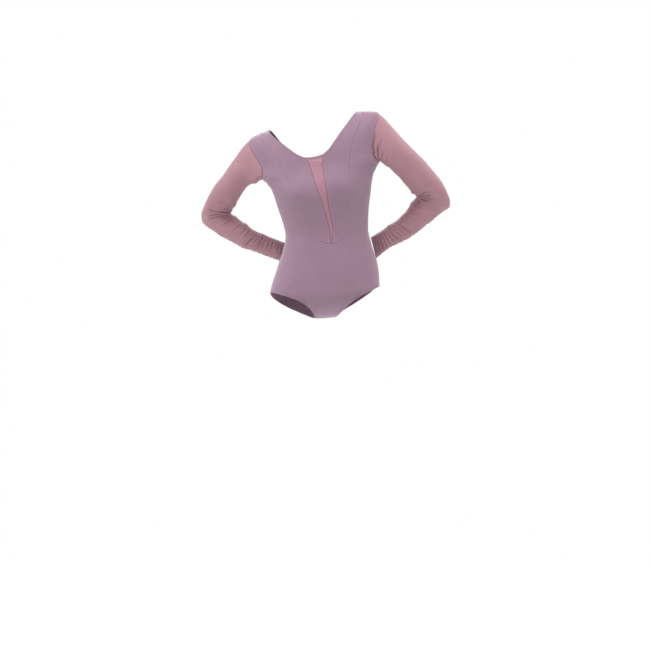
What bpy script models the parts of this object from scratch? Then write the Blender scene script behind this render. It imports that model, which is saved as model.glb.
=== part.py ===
"""Long-sleeve leotard with a sheer V insert, hollow, in the pose it is worn in.

Millimetres and degrees throughout, made metres when a mesh is written. The upright form stands
on a straight spine with heights measured down from the shoulder line, X to the wearer's left
and -Y to the front. worn() then carries it into the leaning and twisting pose.
"""
from collections import namedtuple

import bpy
import numpy as np

MM = 0.001

# walls and seams
KNIT_WALL = 1.5
MESH_WALL = 1.2
SEAM_GAP = 0.3
SLEEVE_GAP = 0.21
MITRE_LIMIT = 1.4

# how finely each piece is faceted, in steps along its lines
ARMHOLE_STEPS = 9
SIDE_STEPS = 6
HIP_STEPS = 8
CROTCH_STEPS = 3
NECK_STEPS = 5
PANEL_STEPS = 4
INSERT_STEPS = 4
SCOOP_STEPS = 5
ARM_STEPS = 32
# how finely the curves behind them are worked out
FINE_STEPS = 120
CURVE_STEPS = 400
ANGLE_STEPS = 2000
HALVINGS = 50
ANGLE_NUDGE = 1e-3
LEVEL_NUDGE = 0.1

# the general figure's body, a row for each level going up from the leg openings
Level = namedtuple("Level", "height half_width front back")
LEVELS = [
    Level(-505, 163, 98, 118),
    Level(-470, 158, 98, 117),
    Level(-420, 146, 95, 108),
    Level(-370, 130, 90, 95),
    Level(-330, 122, 87, 87),
    Level(-290, 126, 93, 88),
    Level(-260, 132, 103, 92),
    Level(-230, 139, 114, 96),
    Level(-205, 144, 118, 99),
    Level(-180, 152, 114, 101),
    Level(-160, 164, 108, 101),
    Level(-145, 176, 102, 99),
    Level(-130, 181, 99, 98),
]
TOP_LEVEL = LEVELS[-1].height
LOW_LEVEL = LEVELS[0].height
BODY_POWER = 2.25
# the outline in the plane of the shoulder seams, x out from the spine
ShoulderRow = namedtuple("ShoulderRow", "x height")
SHOULDER_LINE = [
    ShoulderRow(0, 12),
    ShoulderRow(90, 8),
    ShoulderRow(134, 0),
    ShoulderRow(170, -6),
    ShoulderRow(197, -17.5),
    ShoulderRow(206, -60),
    ShoulderRow(193, -105),
    ShoulderRow(181, -130),
]
SHOULDER_TURN = 62.0
TOP_POWER = 2.1
TOP_REACH = 150.0
CROTCH_HEIGHT = -584.0
LOW_POWER = 2.0
LOW_REACH = 110.0
DEEPEST = 260.0
# soft swellings of the body under the cloth
Swell = namedtuple("Swell", "name side height angle rise tall wide")
SWELLS = [
    Swell("bust", -1, -205, 36, 8, 42, 24),
    Swell("shoulder_blade", 1, -130, 36, 6, 60, 26),
    Swell("seat", 1, -470, 34, 9, 50, 26),
]

# the worn pose, a row for each level of the spine
Pose = namedtuple("Pose", "height x y z tilt twist")
POSES = [
    Pose(-584, 35, 2, -581, 3.5, 8.0),
    Pose(-510, 35, 3, -509, 3.5, 8.0),
    Pose(-420, 42, 2, -419, 4.0, 8.5),
    Pose(-330, 41, 0, -329, 5.0, 8.0),
    Pose(-260, 34, -2, -259, 6.0, 3.0),
    Pose(-205, 29, -2, -204, 7.2, -1.5),
    Pose(-150, 24, 0, -149, 8.7, -6.0),
    Pose(-100, 17, 4, -99, 10.2, -9.0),
    Pose(0, 0, 12, 0, 11.5, -11.0),
]


def column(rows, name):
    """one named column of a table as an array"""
    return np.array([getattr(row, name) for row in rows], float)


def smooth(x, xs, ys):
    """a curve through table rows, without overshoot between them"""
    x = np.clip(np.asarray(x, float), xs[0], xs[-1])
    step = np.diff(xs)
    rise = np.diff(ys) / step
    slope = np.zeros(len(xs))
    turn = rise[:-1] * rise[1:] > 0
    w1 = 2 * step[1:] + step[:-1]
    w2 = step[1:] + 2 * step[:-1]
    inner = np.zeros(len(rise) - 1)
    inner[turn] = ((w1 + w2)[turn]
                   / (w1[turn] / rise[:-1][turn] + w2[turn] / rise[1:][turn]))
    slope[1:-1] = inner
    slope[0] = rise[0]
    slope[-1] = rise[-1]
    k = np.clip(np.searchsorted(xs, x, side="right") - 1, 0, len(step) - 1)
    u = (x - xs[k]) / step[k]
    return (ys[k] * (1 + 2 * u) * (1 - u) ** 2 + slope[k] * step[k] * u * (1 - u) ** 2
            + ys[k + 1] * u ** 2 * (3 - 2 * u) + slope[k + 1] * step[k] * u ** 2 * (u - 1))


def from_rows(x, rows, key, name):
    """a column of a table at x"""
    return smooth(x, column(rows, key), column(rows, name))


def unit(vectors):
    """vectors at length one"""
    return vectors / np.maximum(np.linalg.norm(vectors, axis=-1, keepdims=True), 1e-9)


def blend_power(first, second, share_first, share_second, power):
    """the radius of a superellipse between two half axes"""
    total = (np.abs(share_first) / first) ** power + (np.abs(share_second) / second) ** power
    return total ** (-1 / power)


def level_radius(angle, height, side):
    """radius of the body's section; the angle runs from the front or back centre to the side"""
    half = from_rows(height, LEVELS, "height", "half_width")
    depth = from_rows(height, LEVELS, "height", "front" if side < 0 else "back")
    return blend_power(half, depth, np.sin(angle), np.cos(angle), BODY_POWER)


def shoulder_radius(angle):
    """reach of the shoulder outline from the centre of the top level"""
    reach = column(SHOULDER_LINE, "height") - TOP_LEVEL
    out = column(SHOULDER_LINE, "x")
    return smooth(np.abs(angle), np.arctan2(out, reach), np.hypot(out, reach))


def low_radius(angle):
    """reach of the lower outline from the centre of the low level"""
    return blend_power(LEVELS[0].half_width, LOW_LEVEL - CROTCH_HEIGHT,
                       np.sin(angle), np.cos(angle), LOW_POWER)


def swell(angle, t, side):
    """the rise of the soft swellings at a place on the body"""
    rise = np.zeros_like(angle)
    for row in SWELLS:
        if row.side == side:
            aside = (np.degrees(np.abs(angle)) - row.angle) / row.wide
            above = (t - row.height) / row.tall
            rise = rise + row.rise * np.exp(-aside ** 2 - above ** 2) * np.cos(angle)
    return rise


def body_radius(angle, t, side):
    """reach of the body, and the fan angles at which it bends over the top and the bottom"""
    up = np.clip((t - TOP_LEVEL) / TOP_REACH, 0, 1) * np.pi / 2
    down = np.clip((LOW_LEVEL - t) / LOW_REACH, 0, 1) * np.pi / 2
    middle = level_radius(angle, t, side)
    over = blend_power(middle, shoulder_radius(angle), np.cos(up), np.sin(up), TOP_POWER)
    under = blend_power(middle, low_radius(angle), np.cos(down), np.sin(down), LOW_POWER)
    radius = np.where(t > TOP_LEVEL, over, np.where(t < LOW_LEVEL, under, middle))
    return radius + swell(angle, t, side), up, down


def body(angle, t, side):
    """points of the upright body; t is the height, and past either end a fan over the edge"""
    radius, up, down = body_radius(angle, t, side)
    level = radius * np.cos(angle) * side * np.cos(up) * np.cos(down)
    rise = radius * np.cos(angle) * (np.sin(up) - np.sin(down))
    height = np.clip(t, LOW_LEVEL, TOP_LEVEL) + rise
    return np.stack([radius * np.sin(angle), level, height], axis=-1)


def worn(points):
    """carry upright points into the worn pose"""
    height = points[..., 2]
    keys = column(POSES, "height")
    held = np.clip(height, keys[0], keys[-1])
    centre = np.stack([smooth(held, keys, column(POSES, axis)) for axis in "xyz"], axis=-1)
    tilt = np.radians(smooth(held, keys, column(POSES, "tilt")))
    twist = np.radians(smooth(held, keys, column(POSES, "twist")))
    x = points[..., 0] * np.cos(twist) - points[..., 1] * np.sin(twist)
    y = points[..., 0] * np.sin(twist) + points[..., 1] * np.cos(twist)
    z = height - held
    turned = np.stack([x * np.cos(tilt) - z * np.sin(tilt), y,
                       x * np.sin(tilt) + z * np.cos(tilt)], axis=-1)
    return centre + turned


# seams of the cut, drawn on the upright form as seen from the front or back, x out from the centre
SeamRow = namedtuple("SeamRow", "x height")
NECK_X = 134.0
PRINCESS_X = 158.0
SHOULDER_X = 197.0
UNDERARM = SeamRow(175.5, -146)
NECKLINE = [
    SeamRow(111, -27),
    SeamRow(88, -50),
    SeamRow(62, -77),
    SeamRow(46, -92),
    SeamRow(28.5, -103),
]
INSERT_EDGE = [
    SeamRow(28.5, -103),
    SeamRow(20, -130),
    SeamRow(16.5, -165),
    SeamRow(14, -204),
    SeamRow(10, -233),
    SeamRow(7.5, -270),
    SeamRow(6, -315),
    SeamRow(1.5, -366),
]
INSERT_DIP = 3.0
PRINCESS = [
    SeamRow(149, -30),
    SeamRow(128, -65),
    SeamRow(114, -92),
    SeamRow(102, -125),
    SeamRow(90.5, -166),
    SeamRow(80, -204),
    SeamRow(70.5, -255),
    SeamRow(63, -305),
    SeamRow(58, -340),
]
V_SEAM = [
    SeamRow(1.5, -366),
    SeamRow(10, -364.5),
    SeamRow(25, -360),
    SeamRow(40, -353),
    SeamRow(58, -340),
]
ARMHOLE_FRONT = [
    SeamRow(196, -32),
    SeamRow(188, -50),
    SeamRow(179, -73),
    SeamRow(171, -93),
    SeamRow(166, -111),
    SeamRow(166, -130),
    UNDERARM,
]
ARMHOLE_BACK = [
    SeamRow(194, -34),
    SeamRow(185, -56),
    SeamRow(176, -80),
    SeamRow(170, -104),
    SeamRow(168, -126),
    UNDERARM,
]
BACK_NECK = [
    SeamRow(124, -28),
    SeamRow(108, -58),
    SeamRow(86, -86),
]
BACK_SCOOP = [
    SeamRow(86, -86),
    SeamRow(48, -110),
    SeamRow(0, -118),
    SeamRow(-48, -110),
    SeamRow(-86, -86),
]
WAIST_SIDE = -338.0
LEG_SIDE = -497.0
LEG_FRONT = [
    SeamRow(142, -505),
    SeamRow(122, -513),
    SeamRow(100, -522),
    SeamRow(82, -532),
    SeamRow(60, -549),
    SeamRow(43, -567),
]
LEG_BACK = [
    SeamRow(148, -512),
    SeamRow(124, -530),
    SeamRow(98, -546),
    SeamRow(72, -560),
    SeamRow(50, -572),
]
CROTCH_HALF = 32.0


def find(x, height, side):
    """the angle and t of body points seen from the front or back at x and height"""
    x = np.asarray(x, float)
    height = np.asarray(height, float)
    held = np.clip(height, LOW_LEVEL, TOP_LEVEL)
    near = np.zeros_like(x)
    far = np.full_like(x, DEEPEST)
    for _ in range(HALVINGS):
        depth = (near + far) / 2
        reach = np.sqrt(x ** 2 + depth ** 2 + (height - held) ** 2)
        angle, t = place(x, depth, height)
        outside = reach > body_radius(angle, t, side)[0]
        far = np.where(outside, depth, far)
        near = np.where(outside, near, depth)
    return np.stack(place(x, (near + far) / 2, height), axis=-1)


def place(x, depth, height):
    """the angle and t of the ray through a point of the upright form"""
    held = np.clip(height, LOW_LEVEL, TOP_LEVEL)
    over = height - held
    fan = np.arctan2(np.abs(over), np.maximum(depth, 1e-6)) / (np.pi / 2)
    angle = np.arctan2(x, np.hypot(depth, over))
    t = held + np.where(over > 0, fan * TOP_REACH, -fan * LOW_REACH)
    return angle, t


def spread(line, steps):
    """a curve through points, cut into equal lengths"""
    line = np.asarray(line, float)
    reach = np.concatenate([[0], np.cumsum(np.linalg.norm(np.diff(line, axis=0), axis=1))])
    fine = np.linspace(0, reach[-1], CURVE_STEPS)
    curve = np.stack([smooth(fine, reach, line[:, k]) for k in range(line.shape[1])], axis=-1)
    along = np.concatenate([[0], np.cumsum(np.linalg.norm(np.diff(curve, axis=0), axis=1))])
    wanted = np.linspace(0, along[-1], steps + 1)
    return np.stack([np.interp(wanted, along, curve[:, k]) for k in range(line.shape[1])], axis=-1)


def drawn(rows, steps, side, start=None, end=None):
    """a seam table as angle and t, in steps of equal length on the body"""
    cut = spread([(row.x, row.height) for row in rows], FINE_STEPS)
    places = find(cut[:, 0], cut[:, 1], side)
    places[0] = places[0] if start is None else start
    places[-1] = places[-1] if end is None else end
    points = body(places[:, 0], places[:, 1], side)
    along = np.concatenate([[0], np.cumsum(np.linalg.norm(np.diff(points, axis=0), axis=1))])
    wanted = np.linspace(0, along[-1], steps + 1)
    return np.stack([np.interp(wanted, along, places[:, k]) for k in (0, 1)], axis=-1)


def shoulder_place(x):
    """a point of the shoulder seam, x out from the neck side"""
    angles = np.linspace(0, np.radians(SHOULDER_TURN), ANGLE_STEPS)
    out = shoulder_radius(angles) * np.sin(angles)
    rise = shoulder_radius(angles) * np.cos(angles)
    return SeamRow(x, TOP_LEVEL + np.interp(x, out, rise))


def shoulder_seam(first, last, steps):
    """angle and t along the shoulder seam"""
    points = [shoulder_place(x) for x in np.linspace(first, last, steps + 1)]
    angle = np.array([np.arctan2(row.x, row.height - TOP_LEVEL) for row in points])
    return np.stack([angle, np.full(steps + 1, TOP_LEVEL + TOP_REACH)], axis=-1)


def side_seam(top, bottom, steps):
    """angle and t down the side"""
    return np.stack([np.full(steps + 1, np.pi / 2), np.linspace(top, bottom, steps + 1)], axis=-1)


def mirror(places):
    """the same line on the wearer's other side"""
    return places * np.array([-1.0, 1.0])


def coons(top, bottom, left, right):
    """a patch of places between four lines, rows from top to bottom"""
    u = np.linspace(0, 1, len(top))[None, :, None]
    v = np.linspace(0, 1, len(left))[:, None, None]
    across = (1 - v) * top[None] + v * bottom[None]
    down = (1 - u) * left[:, None] + u * right[:, None]
    corners = ((1 - u) * (1 - v) * top[0] + u * (1 - v) * top[-1]
               + (1 - u) * v * bottom[0] + u * v * bottom[-1])
    return across + down - corners


def level_place(height):
    """a point of the side seam"""
    return SeamRow(float(from_rows(height, LEVELS, "height", "half_width")), height)


def crotch_place(x):
    """a point of the crotch seam, x out from the centre"""
    angles = np.linspace(0, np.pi / 2, ANGLE_STEPS)
    angle = np.interp(x, low_radius(angles) * np.sin(angles), angles)
    return SeamRow(x, float(LOW_LEVEL - low_radius(angle) * np.cos(angle)))


def crotch_seam(steps):
    """angle and t across the crotch"""
    end = crotch_place(CROTCH_HALF)
    angle = np.arctan2(end.x, LOW_LEVEL - end.height)
    return np.stack([np.linspace(-angle, angle, steps + 1),
                     np.full(steps + 1, LOW_LEVEL - LOW_REACH)], axis=-1)


def shoulder_end(x):
    """angle and t of one point of the shoulder seam"""
    return shoulder_seam(x, x, 0)[0]


def armhole(rows, side):
    """half of the armhole on the wearer's left, from the shoulder seam to the underarm"""
    return drawn([shoulder_place(SHOULDER_X)] + rows, ARMHOLE_STEPS, side,
                 shoulder_end(SHOULDER_X), (np.pi / 2, UNDERARM.height))


def leg_opening(rows, steps, side):
    """half of the leg opening on the wearer's left, from the side seam to the crotch"""
    return drawn([level_place(LEG_SIDE)] + rows + [crotch_place(CROTCH_HALF)], steps, side,
                 (np.pi / 2, LEG_SIDE), crotch_seam(1)[1])


def lower_edge(rows, columns, side):
    """both leg openings and the crotch seam, right to left"""
    half = leg_opening(rows, (columns - CROTCH_STEPS) // 2, side)
    return joined(mirror(half), crotch_seam(CROTCH_STEPS), half[::-1])


def joined(*lines):
    """lines end to end, each starting where the last one ended"""
    return np.concatenate([lines[0]] + [line[1:] for line in lines[1:]])


def flipped(places):
    """a patch or line for the wearer's right, its columns still running to the wearer's left"""
    return mirror(places)[:, ::-1] if places.ndim == 3 else mirror(places)[::-1]


def princess_seam():
    """the princess seam on the wearer's left, from the shoulder seam to the waist corner"""
    steps = ARMHOLE_STEPS + SIDE_STEPS
    return drawn([shoulder_place(PRINCESS_X)] + PRINCESS, steps, -1, shoulder_end(PRINCESS_X))


def neckline():
    """the front neckline on the wearer's left, from the shoulder seam to the insert"""
    return drawn([shoulder_place(NECK_X)] + NECKLINE, NECK_STEPS, -1, shoulder_end(NECK_X))


def insert_edge():
    """the seam of the insert on the wearer's left, from the neckline to the waist point"""
    return drawn(INSERT_EDGE, ARMHOLE_STEPS + SIDE_STEPS - NECK_STEPS, -1)


def waist_side_line():
    """the line inside the front from the waist corner out to the side seam"""
    start = princess_seam()[-1]
    share = np.linspace(0, 1, PANEL_STEPS + 1)[:, None]
    return start * (1 - share) + np.array([np.pi / 2, WAIST_SIDE]) * share


def side_front_patch():
    """the front between the princess seam, the armhole and the side seam, wearer's left"""
    outer = joined(armhole(ARMHOLE_FRONT, -1), side_seam(UNDERARM.height, WAIST_SIDE, SIDE_STEPS))
    return coons(shoulder_seam(PRINCESS_X, SHOULDER_X, PANEL_STEPS), waist_side_line(),
                 princess_seam(), outer)


def v_half():
    """half of the pointed waist seam, from the point to the wearer's left corner"""
    return drawn(V_SEAM, PANEL_STEPS, -1)


def lower_front_patch():
    """the front from the pointed waist seam to the crotch, right to left"""
    half = joined(v_half(), waist_side_line())
    point = np.linspace(flipped(half)[-1], half[0], 2)
    top = joined(flipped(half), point, half)
    edge = side_seam(WAIST_SIDE, LEG_SIDE, HIP_STEPS)
    return coons(top, lower_edge(LEG_FRONT, len(top) - 1, -1), mirror(edge), edge)


def centre_front_patch():
    """the panel between the neckline, the insert, the princess seam and the waist seam"""
    inner = joined(neckline(), insert_edge())
    return coons(shoulder_seam(NECK_X, PRINCESS_X, PANEL_STEPS), v_half(), inner, princess_seam())


def insert_patch():
    """the sheer wedge, right to left"""
    edge = insert_edge()
    share = np.linspace(-1, 1, INSERT_STEPS + 1)[:, None]
    dip = np.stack([np.zeros(INSERT_STEPS + 1), -INSERT_DIP * (1 - share[:, 0] ** 2)], axis=-1)
    top = edge[0] * np.concatenate([share, np.ones_like(share)], axis=1) + dip
    bottom = edge[-1] * np.concatenate([share, np.ones_like(share)], axis=1)
    return coons(top, bottom, mirror(edge), edge)


def back_line():
    """the line inside the back from the scoop out to the underarm"""
    start = find(BACK_SCOOP[0].x, BACK_SCOOP[0].height, 1)
    share = np.linspace(0, 1, 2 * PANEL_STEPS + 1)
    share = np.stack([share, 1 - (1 - share) ** 2], axis=-1)
    return start * (1 - share) + np.array([np.pi / 2, UNDERARM.height]) * share


def upper_back_patch():
    """the back between the scoop and the armhole, wearer's left"""
    neck = drawn([shoulder_place(NECK_X)] + BACK_NECK, ARMHOLE_STEPS, 1, shoulder_end(NECK_X))
    top = joined(shoulder_seam(NECK_X, PRINCESS_X, PANEL_STEPS),
                 shoulder_seam(PRINCESS_X, SHOULDER_X, PANEL_STEPS))
    return coons(top, back_line(), neck, armhole(ARMHOLE_BACK, 1))


def lower_back_patch():
    """the back from the scoop to the crotch, right to left"""
    scoop = drawn(BACK_SCOOP, SCOOP_STEPS, 1)[::-1]
    top = joined(flipped(back_line()), scoop, back_line())
    edge = joined(side_seam(UNDERARM.height, WAIST_SIDE, SIDE_STEPS),
                  side_seam(WAIST_SIDE, LEG_SIDE, HIP_STEPS))
    return coons(top, lower_edge(LEG_BACK, len(top) - 1, 1), mirror(edge), edge)


# sleeves, a row for each section going down the arm: the two edges seen from the front,
# how far back its centre lies and half its depth
Station = namedtuple("Station", "outer_x outer_z inner_x inner_z back deep")
SLEEVE_RIGHT = [
    Station(-195, -58, -149, -171, 44, 47),
    Station(-212, -77, -167, -178, 57, 48),
    Station(-227, -100, -183, -184, 71, 50),
    Station(-248, -130, -195, -192, 84, 50),
    Station(-268, -159, -208, -208, 101, 49),
    Station(-291, -187, -220, -227, 118, 48),
    Station(-310, -218, -232, -245, 136, 47),
    Station(-324, -248, -240, -258, 154, 46),
    Station(-332, -271, -245, -266, 172, 45),
    Station(-330, -292, -244, -270, 180, 44),
    Station(-317, -308, -240, -274, 178, 42),
    Station(-295, -323, -230, -280, 167, 40),
    Station(-271, -338, -215, -292, 156, 38),
    Station(-245, -353, -202, -301, 145, 35),
    Station(-215, -369, -183, -316, 136, 33),
    Station(-180, -381, -158, -329, 128, 31),
    Station(-142, -396, -128, -341, 119, 30),
    Station(-106, -409, -97, -353, 108, 30),
    Station(-74, -420, -65, -366, 98, 29),
]
SLEEVE_LEFT = [
    Station(191, 21, 198, -118, -24, 47),
    Station(209, 7, 209, -125, -17, 48),
    Station(227, -12, 220, -131, -11, 49),
    Station(245, -31, 230, -142, -4, 50),
    Station(268, -56, 243, -155, 10, 49),
    Station(298, -86, 257, -168, 24, 48),
    Station(327, -114, 273, -187, 38, 47),
    Station(354, -145, 289, -204, 52, 46),
    Station(378, -174, 299, -214, 65, 45),
    Station(395, -204, 305, -218, 78, 44),
    Station(405, -233, 307, -222, 92, 43),
    Station(404, -251, 302, -227, 96, 42),
    Station(385, -266, 295, -236, 100, 40),
    Station(363, -283, 285, -251, 97, 38),
    Station(339, -302, 274, -267, 95, 35),
    Station(316, -322, 263, -280, 92, 33),
    Station(291, -339, 243, -295, 88, 31),
    Station(260, -357, 224, -307, 84, 30),
    Station(227, -373, 204, -322, 79, 30),
    Station(187, -404, 171, -342, 74, 29),
]
FADE_REACH = 95.0
# the largest rucks of the sleeves: along the arm from the armhole, the turn round it where the
# ruck is highest (0 outer edge, 90 front, 180 inner edge), its rise, width, reach and slant
Ruck = namedtuple("Ruck", "along turn rise width reach slant")
RUCKS_RIGHT = [
    Ruck(30, 175, 4.0, 12, 60, 8),
    Ruck(178, 165, 4.0, 12, 50, 14),
    Ruck(232, 150, 3.5, 11, 60, -14),
    Ruck(262, 110, 3.0, 11, 80, 16),
    Ruck(296, 60, 3.0, 11, 80, -12),
    Ruck(330, 120, 3.2, 11, 90, 14),
    Ruck(365, 70, 3.2, 11, 90, -12),
    Ruck(402, 110, 3.0, 11, 90, 10),
]
RUCKS_LEFT = [
    Ruck(34, 170, 4.5, 12, 60, 8),
    Ruck(206, 165, 4.0, 12, 50, 14),
    Ruck(262, 150, 3.5, 11, 60, -12),
    Ruck(292, 80, 3.0, 11, 80, 14),
    Ruck(322, 120, 3.2, 11, 80, -14),
    Ruck(352, 70, 3.2, 11, 90, 12),
    Ruck(384, 115, 3.2, 11, 90, -12),
    Ruck(420, 90, 3.0, 11, 90, 10),
]


def ruck_rise(rucks, along, turn):
    """how far the rucks lift the sleeve"""
    lift = np.zeros(np.broadcast(along, turn).shape)
    for row in rucks:
        off = (turn - row.turn + 180) % 360 - 180
        line = (along - row.along - row.slant * np.sin(np.radians(off))) / row.width
        lift = lift + row.rise * np.exp(-line ** 2 - (off / row.reach) ** 2)
    return lift


def sleeve_rings(stations, rucks, hole):
    """the sleeve's rings from the armhole loop to the cuff"""
    count = len(stations)
    key = np.arange(count, dtype=float)
    at = np.linspace(0, count - 1, ARM_STEPS + 1)
    col = {name: smooth(at, key, column(stations, name)) for name in Station._fields}
    outer = np.stack([col["outer_x"], col["back"], col["outer_z"]], axis=-1)
    inner = np.stack([col["inner_x"], col["back"], col["inner_z"]], axis=-1)
    centre = (outer + inner) / 2
    half = (outer - inner) / 2
    front = col["deep"][:, None] * np.array([0.0, -1.0, 0.0])
    along = np.concatenate([[0], np.cumsum(np.linalg.norm(np.diff(centre, axis=0), axis=1))])
    turn = np.linspace(0, 360, len(hole), endpoint=False)
    wave = np.radians(turn)[None, :, None]
    spoke = np.cos(wave) * half[:, None] + np.sin(wave) * front[:, None]
    lift = ruck_rise(rucks, along[:, None], turn[None, :])
    rings = centre[:, None] + spoke + unit(spoke) * lift[..., None]
    fade = np.clip(1 - along / FADE_REACH, 0, 1) ** 2
    return rings + fade[:, None, None] * (hole - rings[0])[None]


# walls: sheets of points given thickness, with their edges pulled in from the seams
RIM_WAY = np.array([0.31, -0.42, 1.0])


def sheet_points(places, side):
    """worn points and outward normals of a patch"""
    angle, t = places[..., 0], places[..., 1]
    points = worn(body(angle, t, side))
    across = worn(body(angle + ANGLE_NUDGE, t, side)) - worn(body(angle - ANGLE_NUDGE, t, side))
    up = worn(body(angle, t + LEVEL_NUDGE, side)) - worn(body(angle, t - LEVEL_NUDGE, side))
    return points, unit(np.cross(across, up)) * -side


def grid_faces(rows, columns, closed):
    """the four-sided faces of a grid of points"""
    faces = []
    for r in range(rows - 1):
        for c in range(columns if closed else columns - 1):
            d = (c + 1) % columns
            faces.append((r * columns + c, (r + 1) * columns + c,
                          (r + 1) * columns + d, r * columns + d))
    return faces


def knit(patches):
    """patches of one piece joined where they share points"""
    index = {}
    points, normals, faces = [], [], []
    for places, side in patches:
        p, n = sheet_points(places, side)
        names = []
        for point, normal in zip(p.reshape(-1, 3), n.reshape(-1, 3)):
            key = tuple(np.round(point, 3))
            if key not in index:
                index[key] = len(points)
                points.append(point)
                normals.append(normal)
            names.append(index[key])
        patch = [tuple(names[i] for i in face) for face in grid_faces(*p.shape[:2], False)]
        faces += facing(np.array(points), np.array(normals), patch)
    return np.array(points), np.array(normals), faces


def facing(points, normals, faces):
    """the faces of one patch, turned to the outside"""
    a, b, c, d = (points[[face[k] for face in faces]] for k in range(4))
    first = normals[[face[0] for face in faces]]
    out = np.sum(np.cross(c - a, d - b) * first)
    return faces if out > 0 else [face[::-1] for face in faces]


def open_edges(faces):
    """edges that only one face uses, in that face's direction"""
    used = {(a, b) for face in faces for a, b in zip(face, face[1:] + face[:1])}
    return [(a, b) for a, b in used if (b, a) not in used]


def pull_in(points, normals, faces, gap):
    """edge points moved into their piece by half the gap"""
    ways = {}
    for a, b in open_edges(faces):
        way = unit(np.cross(normals[a] + normals[b], points[b] - points[a]))
        ways.setdefault(a, []).append(way)
        ways.setdefault(b, []).append(way)
    moved = points.copy()
    for i, (first, second) in ways.items():
        moved[i] += (first + second) * gap / 2 / (1 + first @ second)
    return moved


def wall(points, ways, faces, thickness):
    """a closed solid of a sheet, half its thickness to each side"""
    count = len(points)
    outer = points + ways * thickness / 2
    inner = points - ways * thickness / 2
    solid = [tuple(face) for face in faces]
    solid += [tuple(i + count for i in face[::-1]) for face in faces]
    for a, b in open_edges(faces):
        solid += rim(a, b, count, points[a] @ RIM_WAY > points[b] @ RIM_WAY)
    return np.concatenate([outer, inner]), solid


def rim(a, b, count, from_a):
    """the edge of a wall, split alike on both sides of a seam"""
    if from_a:
        return [(b, a, b + count), (a, a + count, b + count)]
    return [(b, a, a + count), (b, a + count, b + count)]


def grid_normals(rings):
    """normals of a tube of rings, outward"""
    down = np.gradient(rings, axis=0)
    around = np.roll(rings, -1, axis=1) - np.roll(rings, 1, axis=1)
    normal = unit(np.cross(around, down))
    out = rings - rings.mean(axis=1, keepdims=True)
    return normal * np.sign(np.sum(normal * out, axis=(1, 2)))[:, None, None]


def armhole_loop(wearers_right):
    """the armhole from shoulder to front to underarm to back, with the body's normals"""
    front = armhole(ARMHOLE_FRONT, -1)
    back = armhole(ARMHOLE_BACK, 1)[::-1][1:-1]
    if wearers_right:
        front, back = mirror(front), mirror(back)
    p, n = sheet_points(front, -1)
    q, m = sheet_points(back, 1)
    return np.concatenate([p, q]), np.concatenate([n, m])


def armhole_joint(wearers_right, stations, rucks):
    """the loop, the shared direction of both walls at it, and the way out to the sleeve"""
    loop, normals = armhole_loop(wearers_right)
    own = grid_normals(sleeve_rings(stations, rucks, loop))[0]
    mitre = unit(normals + own)
    stretch = 1 / np.maximum(np.sum(mitre * normals, axis=1), 1 / MITRE_LIMIT)
    along = np.roll(loop, -1, axis=0) - np.roll(loop, 1, axis=0)
    out = unit(np.cross(along, mitre))
    away = 1 if (out[0, 0] > 0) != wearers_right else -1
    return loop, mitre * stretch[:, None], out * away


# colours and finish of the pieces
Finish = namedtuple("Finish", "name colour roughness")
KNIT = Finish("mauve_knit", (0.347, 0.250, 0.322), 0.72)
MESH = Finish("rose_mauve_mesh", (0.420, 0.262, 0.325), 0.62)


def finish(row):
    """a plain cloth material"""
    material = bpy.data.materials.get(row.name) or bpy.data.materials.new(row.name)
    material.use_nodes = True
    shader = material.node_tree.nodes["Principled BSDF"]
    shader.inputs["Base Color"].default_value = (*row.colour, 1.0)
    shader.inputs["Roughness"].default_value = row.roughness
    shader.inputs["Metallic"].default_value = 0.0
    return material


def place_piece(name, points, faces, row):
    """a named object with its mesh in metres"""
    mesh = bpy.data.meshes.new(name)
    mesh.from_pydata((points * MM).tolist(), [], faces)
    mesh.update()
    mesh.materials.append(finish(row))
    mesh.polygons.foreach_set("use_smooth", [True] * len(mesh.polygons))
    piece = bpy.data.objects.new(name, mesh)
    bpy.context.scene.collection.objects.link(piece)
    return piece


def body_piece(name, patches, thickness, row, joints):
    """a piece of the body as a wall"""
    points, normals, faces = knit(patches)
    ways = normals.copy()
    for loop, mitre, _ in joints:
        for corner, way in zip(loop, mitre):
            near = np.linalg.norm(points - corner, axis=1) < SEAM_GAP / 2
            ways[near] = way
    points = pull_in(points, normals, faces, SEAM_GAP)
    solid, walls = wall(points, ways, faces, thickness)
    return place_piece(name, solid, walls, row)


def sleeve_piece(name, stations, rucks, joint):
    """a sleeve as a tube with its armhole and cuff open"""
    loop, mitre, out = joint
    rings = sleeve_rings(stations, rucks, loop + out * SLEEVE_GAP)
    ways = grid_normals(rings)
    ways[0] = mitre
    faces = grid_faces(rings.shape[0], rings.shape[1], True)
    points, ways = rings.reshape(-1, 3), ways.reshape(-1, 3)
    solid, walls = wall(points, ways, facing(points, ways, faces), MESH_WALL)
    return place_piece(name, solid, walls, MESH)


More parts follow.
